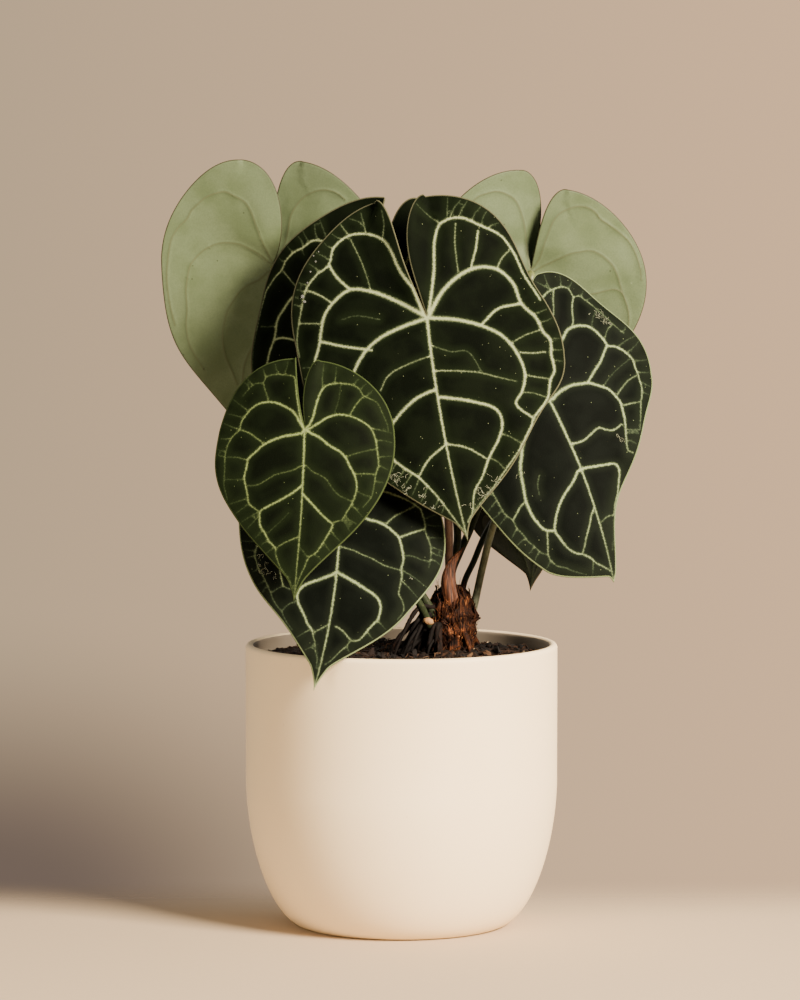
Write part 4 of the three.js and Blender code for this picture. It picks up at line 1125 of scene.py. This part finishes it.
def carried_over(path, old, new):
    """Moves a path from one half blade to another by mean value coordinates in their cages."""
    moved = []
    for spot in path:
        away = old - spot
        size = np.maximum(np.hypot(*away.T), 1e-6)
        after, size_after = np.roll(away, -1, axis=0), np.roll(size, -1)
        cross = away[:, 0] * after[:, 1] - away[:, 1] * after[:, 0]
        dot = (away * after).sum(1)
        tangent = (size * size_after - dot) / np.where(np.abs(cross) < 1e-6, 1e-6, cross)
        weight = (np.roll(tangent, 1) + tangent) / size
        moved.append((weight[:, None] * new).sum(0) / weight.sum())
    return np.array(moved)


# How bold the drawn veins are on a leaf, where that is not 1
VEIN_BREADTH = {"front_centre": 1.12, "right": 1.08, "front_left": 0.9}
# Spacing of the points along veins, along the margin and the midrib, and in the even fill
VEIN_STEP, MARGIN_STEP, GRID_STEP = 1.3, 1.3, 1.9
# A vein that starts this near the joint or the midrib starts on it
JOINT_REACH, MIDRIB_REACH = 2.5, 2.6
# How far veins keep off the margin and off the midrib
OFF_MARGIN, OFF_MIDRIB = 0.9, 0.45
# Cells swell between the veins, ribs stand out below and are this wide, the margin is rounded
CELL_SWELL, RIB_HEIGHT, RIB_WIDTH, MARGIN_ROUND = 0.4, 0.3, 0.6, 0.9


def seen_at(points):
    """Pixels of the photograph at which points in millimetres are seen."""
    ahead = (PHOTO_AIM - PHOTO_AT) / np.linalg.norm(PHOTO_AIM - PHOTO_AT)
    right = np.cross(ahead, (0, 0, 1))
    right /= np.linalg.norm(right)
    ray = points - PHOTO_AT
    scale = PHOTO_FOCUS / (ray @ ahead)
    return np.stack([PHOTO_MIDDLE[0] + scale * (ray @ right),
                     PHOTO_MIDDLE[1] - scale * (ray @ np.cross(right, ahead))], -1)


def on_blade(leaf, half, outline, places):
    """Points in millimetres of places (s, t) on the middle face of a half blade."""
    joint, along, normal, across, length = blade_frame(leaf)
    sign = 1 if half == "right" else -1
    s, t = places.T
    h = blade_height(leaf, leaf[half], outline, length, s, t, sign)[0]
    k = np.clip(t / length, 0, 1)
    side = sign * s + leaf["bend"] * 4 * k * (1 - k)
    return joint + side[:, None] * across + t[:, None] * along + h[:, None] * normal


FIRST_GUESS, SMALL_STEP, LONGEST_STEP, STEP_SHARE, STEPS = 20.0, 0.05, 8, 0.8, 40


def places_of(leaf, half, outline, pixels):
    """Places (s, t) of a half blade that are seen at these pixels, to half a millimetre."""
    places = np.full(pixels.shape, FIRST_GUESS)
    for _ in range(STEPS):
        seen = seen_at(on_blade(leaf, half, outline, places))
        slope = np.stack([(seen_at(on_blade(leaf, half, outline, places + step)) - seen)
                          / SMALL_STEP for step in ((SMALL_STEP, 0), (0, SMALL_STEP))], -1)
        wanted = np.linalg.solve(slope, (pixels - seen)[..., None])[..., 0]
        places = places + np.clip(wanted, -LONGEST_STEP, LONGEST_STEP) * STEP_SHARE
    return np.round(places * 2) / 2


def drawn_net(name, half):
    """The net picked for a half blade: half widths at the root and at the end, and the path."""
    leaf = LEAVES[name]
    outline = half_outline(leaf[half], blade_frame(leaf)[4], leaf["tail"])
    return [(root, end, places_of(leaf, half, outline, np.reshape(pixels, (-1, 2))))
            for root, end, *pixels in VEINS.get((name, half), ())]


def lent_net(name, half, loop):
    """The net of another leaf's half, moved into this half's outline."""
    lender, lent_half = BORROWED_VEINS[name, half]
    lent = LEAVES[lender]
    span = blade_frame(lent)[4]
    old = cage(half_outline(lent[lent_half], span, lent["tail"])[0], span)
    return [(root, end, carried_over(path, old, loop))
            for root, end, path in drawn_net(lender, lent_half)]


def inward_of(line):
    """Unit vectors into the blade all along its margin."""
    heading = np.gradient(line, axis=0)
    heading /= np.hypot(*heading.T)[:, None] + 1e-9
    return np.stack([-heading[:, 1], heading[:, 0]], -1)


def fine_veins(source, line, rib, broad):
    """Veins as fine paths that start on the midrib or the joint and keep off the margin."""
    inner = inward_of(line)
    veins = []
    for start, end, path in source:
        fine = curve_through(path, VEIN_STEP)
        if np.hypot(*fine[0]) < JOINT_REACH:
            fine[0] = (0, 0)
        elif fine[0][1] > 0 and abs(fine[0][0]) < MIDRIB_REACH:
            fine[0] = (0, rib[np.abs(rib - fine[0][1]).argmin()])
        later = fine[1:]
        later[:, 0] = np.where(later[:, 1] > -1, np.maximum(later[:, 0], OFF_MIDRIB),
                               later[:, 0])
        edge, index, part = nearest(line, later)
        keep_in = OFF_MARGIN * smooth(np.hypot(*later.T) / 5)
        bad = ~inside(cage(line, rib[-1]), later) | (edge < keep_in)
        at = line[index] + part[:, None] * (line[index + 1] - line[index])
        later[bad] = (at + inner[index] * OFF_MARGIN)[bad]
        width = np.linspace(start, end, len(fine)) * broad
        good = np.concatenate([[True], inside(cage(line, rib[-1]), later)])
        runs = np.split(np.arange(len(fine)), np.flatnonzero(np.diff(good.astype(int))) + 1)
        veins += [(fine[r], width[r]) for r in runs if good[r[0]] and len(r) > 1]
    return veins


def fringe(veins, line, share, seed):
    """Short veins from the outermost vein nearly to the margin, where none was drawn."""
    draw = random.Random(seed)
    spots = np.concatenate([v for v, w in veins])
    widths = np.concatenate([w for v, w in veins])
    inner = inward_of(line)
    total = np.hypot(*np.diff(line, axis=0).T).sum()
    at, made = 0.2, []
    while at < 0.95:
        i = int(np.searchsorted(share, at))
        slant = inner[i] + np.array([-inner[i][1], inner[i][0]]) * draw.uniform(-0.3, 0.3)
        outer = line[i] + inner[i] * draw.uniform(1.0, 1.8)
        for reach in np.arange(1.5, 15, 0.4):
            tip = outer + slant * reach
            gap = np.hypot(*(spots - tip).T)
            j = gap.argmin()
            if gap[j] < 0.9:
                middle = (spots[j] + outer) / 2
                clear = min(np.hypot(*(spots - spots[j] * (1 - k) - outer * k).T).min()
                            for k in (0.45, 0.6, 0.8, 1.0)) > min(2.0, reach * 0.3)
                if reach > 2.4 and widths[j] > 0.22 and clear:
                    astray = (draw.uniform(-0.6, 0.6), draw.uniform(-0.6, 0.6))
                    path = [spots[j], middle + astray, outer]
                    fine = curve_through(np.array(path), VEIN_STEP)
                    made.append((fine, np.linspace(draw.uniform(0.3, 0.45), 0.1, len(fine))))
                    spots = np.concatenate([spots, fine[2:]])
                    widths = np.concatenate([widths, np.full(len(fine[2:]), 0.1)])
                break
        at += draw.uniform(4.0, 8.0) / total
    return made


def vein_net(name, half, outline, length, rib):
    """Veins of a half blade as the upper face shows them, and those that stand out below."""
    line, share, _ = outline
    loop = cage(line, length)
    drawn = drawn_net(name, half)
    lent = lent_net(name, half, loop) if (name, half) in BORROWED_VEINS else None
    broad = VEIN_BREADTH.get(name, 1)
    upper = fine_veins(lent or drawn, line, rib, broad)
    under = fine_veins(drawn, line, rib, broad) if lent and drawn else upper
    return upper + fringe(upper, line, share, name + half), under


def blade_half(name, half, sign, leaf, length, rib):
    """Flat points, triangles and what each point carries, for one half of a blade."""
    side = leaf[half]
    outline = half_outline(side, length, leaf["tail"])
    line = outline[0]
    veins, under_veins = vein_net(name, half, outline, length, rib)
    run = run_along(line)
    margin = evenly(line, run, int(run[-1] / MARGIN_STEP))
    loop = np.concatenate([margin, [(0, t) for t in rib[::-1][1:-1]]])
    spots, edges = [tuple(p) for p in loop], []
    every = veins if under_veins is veins else veins + [v for v in under_veins
                                                        if not any(v is u for u in veins)]
    for fine, _ in every:
        start = len(spots)
        spots += [tuple(p) for p in fine]
        edges += [(i, i + 1) for i in range(start, len(spots) - 1)]
    # rows beside the veins and inside the margin, then an even fill
    taken = {}

    def free(p, gap):
        cx, cy = int(p[0] // 1), int(p[1] // 1)
        for i in range(cx - 2, cx + 3):
            for j in range(cy - 2, cy + 3):
                for q in taken.get((i, j), ()):
                    if (q[0] - p[0]) ** 2 + (q[1] - p[1]) ** 2 < gap * gap:
                        return False
        return True

    def take(p):
        taken.setdefault((int(p[0] // 1), int(p[1] // 1)), []).append(p)

    for p in spots:
        take(p)
    rows = []
    inward = np.gradient(margin, axis=0)
    inward = np.stack([-inward[:, 1], inward[:, 0]], -1)
    inward /= np.hypot(*inward.T)[:, None]
    rows += [(margin[2:-2] + inward[2:-2] * d, 0.3) for d in (0.4, 1.0)]
    for fine, width in every:
        heading = np.gradient(fine, axis=0)
        across = np.stack([-heading[:, 1], heading[:, 0]], -1)
        across /= np.hypot(*across.T)[:, None] + 1e-9
        for d in (-1, 1):
            rows.append((fine + across * (width * d)[:, None], 0.3))
            if width.max() > 0.5:
                rows.append((fine + across * ((width + 0.9) * d)[:, None], 0.6))
    ribs = np.array([(0, t) for t in rib])
    rib_width = midrib_width(rib, length)
    rows += [(ribs[1:-1] + np.stack([rib_width[1:-1] + extra, rib[1:-1] * 0], -1), 0.3)
             for extra in (0, 0.9)]
    low, high = loop.min(0), loop.max(0)
    grid = [(x + (GRID_STEP / 2 if j % 2 else 0), y)
            for j, y in enumerate(np.arange(low[1], high[1], GRID_STEP * 0.87))
            for x in np.arange(low[0], high[0], GRID_STEP)]
    rows.append((np.array(grid), 1.15))
    for row, gap in rows:
        within = inside(loop, row) & (nearest(line, row)[0] > 0.3)
        within &= (row[:, 0] > 0.3) | (row[:, 1] < 0)
        for p in row[within]:
            if free(p, gap):
                p = tuple(p)
                take(p)
                spots.append(p)
    flat, _, triangles, *_ = delaunay_2d_cdt([Vector(p) for p in spots], edges,
                                             [list(range(len(loop)))], 1, 1e-5)
    flat = np.array([v[:] for v in flat])
    s, t = flat.T
    # distance to the vein that reaches furthest here, its half width, and the nearest rib below
    spine = np.where(t > 0, np.abs(s), np.hypot(s, t))
    away, wide = spine, midrib_width(np.clip(t, 0, length), length)
    for fine, width in veins:
        d, index, part = nearest(fine, flat)
        w = width[index] + part * (width[np.minimum(index + 1, len(width) - 1)] - width[index])
        closer = d - w < away - wide
        away, wide = np.where(closer, d, away), np.where(closer, w, wide)
    rib_away = spine
    for fine, width in under_veins:
        if width.max() > 0.45:
            rib_away = np.minimum(rib_away, nearest(fine, flat)[0])
    h, edge = blade_height(leaf, side, outline, length, s, t, sign)
    return dict(flat=flat, triangles=[tuple(f) for f in triangles], vein_away=away,
                vein_half=wide, rib_away=rib_away, height=h, edge=edge)


def midrib_width(t, length):
    """Half width of the midrib at a distance from the joint."""
    return (1.05 - 0.6 * np.clip(t / length, 0, 1) ** 0.8) * min(1, length / 105)


def blade(name, upper, under):
    leaf = LEAVES[name]
    joint, along, normal, across, length = blade_frame(leaf)
    rib = np.linspace(-SINUS_START, length, int((length + SINUS_START) / MARGIN_STEP) + 1)
    merged, key, triangles = [], {}, []
    carried = {"vein_away": [], "vein_half": [], "rib_away": [], "edge": []}
    for half, sign in (("right", 1), ("left", -1)):
        part = blade_half(name, half, sign, leaf, length, rib)
        renamed = []
        for i, (s, t) in enumerate(part["flat"]):
            mark = (0, round(t, 3)) if abs(s) < 1e-3 else (half, i)
            if mark not in key:
                key[mark] = len(merged)
                merged.append((sign * s, t, part["height"][i]))
                for label in carried:
                    carried[label].append(part[label][i])
            renamed.append(key[mark])
        for f in part["triangles"]:
            f = tuple(renamed[i] for i in f)
            if len(set(f)) == 3:
                triangles.append(f if sign > 0 else f[::-1])
    merged = np.array(merged)
    carried = {label: np.array(values) for label, values in carried.items()}
    gap = carried["vein_away"] - carried["vein_half"]
    edge = carried["edge"]
    s, t, h = merged.T
    # the cells between the veins swell a little, the ribs stand out on the under side, and the
    # whole blade wavers slowly
    swell = CELL_SWELL * smooth(gap / 4.5) * smooth(edge / 4)
    h = h + ripples(s, t, name, (70, 33), (0.5, 0.25)) * smooth(np.hypot(s, t) / 14)
    half_thick = (BLADE_THICKNESS / 2) * (0.35 + 0.65 * np.sqrt(
        1 - (1 - np.clip(edge / MARGIN_ROUND, 0, 1)) ** 2))
    ridge = RIB_HEIGHT * np.exp(-(carried["rib_away"] / RIB_WIDTH) ** 2) * smooth(edge / 3)
    k = np.clip(t / length, 0, 1)
    flat = joint + (s + leaf["bend"] * 4 * k * (1 - k))[:, None] * across + t[:, None] * along
    top = flat + (h + swell + half_thick)[:, None] * normal
    bottom = flat + (h + swell * 0.3 - half_thick - ridge)[:, None] * normal
    count = len(merged)
    seen = {}
    for a, b, c in triangles:
        for e in ((a, b), (b, c), (c, a)):
            seen[tuple(sorted(e))] = None if tuple(sorted(e)) in seen else e
    rim = [e for e in seen.values() if e]
    faces = [*triangles, *[(a + count, c + count, b + count) for a, b, c in triangles],
             *[(b, a, a + count, b + count) for a, b in rim]]
    choice = [0] * len(triangles) + [1] * (len(triangles) + len(rim))
    return form(f"leaf_{name}", f"blade_{name}", np.concatenate([top, bottom]), faces,
                [upper, under], choice,
                {label: np.tile(values, 2) for label, values in carried.items()})


# Small marks on the blades

# Dried mineral scribbles: half, place (s, t), how far they scatter and how many
DEPOSITS = {
    "front_centre": [("left", 26, 73.5, 3.2, 16), ("left", 23, 79, 3, 12), ("left", 16, 84, 3, 8),
                     ("left", 11, 89, 2.5, 5), ("right", 12, 87, 3.5, 14),
                     ("right", 20, 82.5, 3, 10), ("right", 5, 91.5, 2, 4)],
    "low_left": [("left", 35, 42, 5, 14), ("left", 29, 46, 4, 5), ("right", 33.5, 41, 2, 2)],
    "right": [("right", 40, -31, 4.5, 18), ("right", 24, 28, 0.6, 4), ("left", 27, 29, 5, 4)],
}
# Water beads on the front leaf: place (s, t) on the left half and radius
BEADS = [(55.7, -22.3, 1.0), (55.2, -19.8, 0.75), (46.8, -37.2, 0.5), (50.0, -32.9, 0.45),
         (52.3, -28.1, 0.5), (44.6, -41.7, 0.35), (47.3, -40.2, 0.4)]


def mineral_residue():
    """Lime left where water dried: a chalky, broken white film."""
    material, tree, where, skin = new_material("dried mineral residue")
    grain = add(tree, "TexNoise", {"Vector": where, "Scale": per_mm(0.4), "Detail": 2})
    body = add(tree, "Mix", {"Factor": grain, "A": "#3c4436", "B": "#8f947d"}, **TINTS)
    feed(tree, skin, {"Base Color": body, "Roughness": 0.8})
    return material


def water_bead():
    """Water beads: clear domes with one hard glint."""
    material, tree, where, skin = new_material("water beads")
    ripple = add(tree, "TexNoise", {"Vector": where, "Scale": per_mm(2)})
    body = add(tree, "Mix", {"Factor": ripple, "A": "#e8efe6", "B": "#ffffff"}, **TINTS)
    feed(tree, skin, {"Base Color": body, "Roughness": 0.04, "IOR": 1.333,
                      "Transmission Weight": 0.9})
    return material


def on_face(name, surface, half, s, t):
    """The point of the upper face over a place (s, t), and the blade's normal."""
    leaf = LEAVES[name]
    joint, along, normal, across, length = blade_frame(leaf)
    k = min(max(t / length, 0), 1)
    side = s if half == "right" else -s
    over = joint + (side + leaf["bend"] * 4 * k * (1 - k)) * across + t * along + 30 * normal
    hit = surface.ray_cast(Vector(over * MM), Vector(-normal))[0]
    return (None if hit is None else np.array(hit) / MM), normal


def marks(name, piece):
    draw = random.Random("marks " + name)
    surface = BVHTree.FromPolygons([v.co for v in piece.data.vertices],
                                   [f.vertices[:] for f in piece.data.polygons])
    heap = Heap()
    for half, s, t, scatter, count in DEPOSITS[name]:
        for _ in range(count):
            x, y = draw.gauss(s, scatter / 2), draw.gauss(t, scatter / 2)
            a, path = draw.uniform(0, TURN), []
            for _ in range(draw.randrange(4, 11)):
                spot, normal = on_face(name, surface, half, x, y)
                if spot is None:
                    break
                path.append(spot + normal * 0.05)
                a += draw.gauss(0, 0.9)
                x, y = x + 0.5 * math.cos(a), y + 0.5 * math.sin(a)
            if len(path) > 3:
                width = draw.uniform(0.07, 0.16)
                heap.put(*tube(path, [width * draw.uniform(0.4, 1.2) for _ in path], 4), 0)
    form(f"residue_{name}", f"blade_{name}", heap.points, heap.faces,
         [mineral_residue()])
    if name != "front_centre":
        return
    heap = Heap()
    for s, t, radius in BEADS:
        spot, normal = on_face(name, surface, "left", s, t)
        if spot is None:
            continue
        body = bmesh.new()
        bmesh.ops.create_icosphere(body, subdivisions=3, radius=1)
        points = np.array([v.co[:] for v in body.verts])
        lift = points @ normal
        points = points - 0.4 * lift[:, None] * normal
        points *= 1 + 0.06 * np.sin(3 * points[:, :1] + radius * 40)
        heap.put(points * radius + spot + normal * radius * 0.25,
                 [[v.index for v in f.verts] for f in body.faces], 0)
        body.free()
    form("water_beads", f"blade_{name}", heap.points, heap.faces, [water_bead()])


# Petioles
SHEATH_SWELL, JOINT_SWELL, PETIOLE_SIDES = 0.3, 0.25, 22


def petiole(name, material):
    leaf = LEAVES[name]
    joint, along, normal, _, _ = blade_frame(leaf)
    thick = leaf["thick"]
    seat = joint - normal * (BLADE_THICKNESS / 2 + CLEARANCE + thick * (1 + JOINT_SWELL)) + along
    path = curve_through([*leaf["stalk"], seat, joint - normal * 1.0 + along * 2.2], 0.9)
    k = np.linspace(0, 1, len(path))
    radii = thick * (1 + SHEATH_SWELL * (1 - smooth(k / 0.16))
                     + JOINT_SWELL * smooth((k - 0.9) / 0.05))
    radii *= 1 - 0.35 * smooth((k - 0.965) / 0.035)
    points, faces = tube(path, radii, PETIOLE_SIDES)
    form(f"stalk_{name}", f"petiole_{name}", points, faces, [material],
         carried={"along": np.repeat(k, PETIOLE_SIDES)})


# Build
pot()
potting_mix()
rootstock()
bract()

deep_velvet = velvet_face("deep green velvet", "#050804", "#0a0f07", "#141c0e", 0.10, "#414d37",
                          "#8d9871", "#545541", 0.02)
young_velvet = velvet_face("young green velvet", "#070b05", "#0c1208", "#182110", 0.2,
                           "#344027", "#768554", "#394527", 0.03)
grey_velvet = velvet_face("greyish green velvet", "#060906", "#0a0e0a", "#181e15", 0.35, "#3c4936",
                          "#88976e", "#76845f", 0.03)
sage_under = pale_face("pale sage under side", "#5c6a4d", "#515f41", "#51583d", "#3a4630")
# a dark copy of the pale under side, for the leaf that hangs behind the others: painted shade
shaded_under = pale_face("under side in painted shade", "#0f1409", "#0b0f07", "#171d0e", "#090d06")

for leaf_name, velvet in (("front_centre", deep_velvet), ("front_left", young_velvet),
                          ("low_left", grey_velvet), ("right", grey_velvet),
                          ("middle_left", deep_velvet)):
    piece = blade(leaf_name, velvet, sage_under)
    if leaf_name in DEPOSITS:
        marks(leaf_name, piece)
for leaf_name in ("back_left", "back_right", "low_right"):
    blade(leaf_name, deep_velvet,
          shaded_under if leaf_name == "low_right" else sage_under)

# the darker green stalks carry painted shade; the lighter greyish stalk of the right leaf is
# painted as lit
painted_shade_stalk = living_stalk("waxy green petiole in painted shade", "#2a3122", "#2b3421", "#6b7549")
painted_lit_stalk = living_stalk("waxy greyish petiole painted as lit", "#858a72", "#78816a", "#6b7549")
red_stalk = living_stalk("waxy reddish petiole", "#3d2b20", "#4a352a", "#6e5f40")
for leaf_name in LEAVES:
    if leaf_name == "front_centre":
        petiole(leaf_name, red_stalk)
    else:
        petiole(leaf_name, painted_lit_stalk if leaf_name == "right" else painted_shade_stalk)


# Floor, light and background
def studio():
    """Pale paper floor that runs out softly into the taupe of the room."""
    material, tree, where, skin = new_material("pale studio paper")
    axes = add(tree, "SeparateXYZ", {"Vector": where}).outputs
    fibre = add(tree, "TexNoise", {"Vector": where, "Scale": per_mm(2.5)})
    body = add(tree, "Mix", {"Factor": fibre, "A": "#bfab90", "B": "#c3b095"}, **TINTS)
    feed(tree, skin, {"Base Color": body, "Roughness": 0.9, "Specular IOR Level": 0.1})
    behind = add(tree, "MapRange", {"Value": axes["Y"], "From Min": 0.0, "From Max": 0.13}, **SOFT)
    away = add(tree, "VectorMath", {0: where}, operation="LENGTH").outputs["Value"]
    far = add(tree, "MapRange", {"Value": away, "From Min": 0.35, "From Max": 0.7}, **SOFT)
    gone = add(tree, "Math", {0: behind, 1: far}, operation="MAXIMUM")
    feed(tree, skin, {"Alpha": add(tree, "Math", {0: 1.0, 1: gone}, operation="SUBTRACT")})
    mesh = bpy.data.meshes.new("studio_floor")
    mesh.from_pydata([(-1, -1, 0), (1, -1, 0), (1, 1, 0), (-1, 1, 0)], [], [(0, 1, 2, 3)])
    mesh.materials.append(material)
    placed("studio_floor", mesh)

    world = bpy.data.worlds.new("taupe room")
    bpy.context.scene.world = world
    world.use_nodes = True
    tree = world.node_tree
    tree.nodes.clear()
    # seen from the front, the room is lighter towards the right and darkest low on the left, away
    # from the key light: a painted shadow of the plant
    way = add(tree, "TexCoord").outputs["Generated"]
    axes = add(tree, "SeparateXYZ", {"Vector": way}).outputs
    across = add(tree, "MapRange", {"Value": axes["X"], "From Min": -0.1, "From Max": 0.1})
    room = add(tree, "Mix", {"Factor": across, "A": "#ceb391", "B": "#fbcfa2"}, **TINTS)
    offset = add(tree, "VectorMath", {0: way, 1: (0.10, 0.0, 0.17)}, operation="ADD")
    offset = add(tree, "VectorMath", {0: offset, 1: (0.62, 0.0, 1.0)}, operation="MULTIPLY")
    depth = add(tree, "VectorMath", {0: offset}, operation="LENGTH").outputs["Value"]
    shade = add(tree, "MapRange", {"Value": depth, "From Min": 0.012, "From Max": 0.075,
                                   "To Min": 1.0, "To Max": 0.0}, **SOFT)
    room = add(tree, "Mix", {"Factor": shade, "A": room, "B": "#75655a"}, **TINTS)
    seen = add(tree, "Background", {"Color": room})
    # what lights the plant besides the lamps: the lit backdrop behind it, a dark studio in front
    rear = add(tree, "MapRange", {"Value": axes["Y"], "From Min": -0.1, "From Max": 0.5}, **SOFT)
    dim = add(tree, "Background", {"Color": add(tree, "Mix", {
        "Factor": rear, "A": "#45464a", "B": "#beb3a6"}, **TINTS)})
    straight = add(tree, "LightPath").outputs["Is Camera Ray"]
    add(tree, "OutputWorld", {"Surface": add(tree, "MixShader", {0: straight, 1: dim, 2: seen})})


WARM = (1.0, 0.84, 0.66)


def lamp(name, at, aim, size, power):
    """A soft box: a square warm light that looks at a point."""
    data = bpy.data.lights.new(name, "AREA")
    data.shape, data.size, data.energy, data.color = "SQUARE", size, power, WARM
    aimed(name, data, at, aim)


studio()
lamp("key soft box", (1.25, -1.3, 1.15), (0, 0, 0.15), 0.7, 210)
lamp("fill soft box", (-1.3, -1.7, 0.7), (0, 0, 0.15), 1.0, 22)
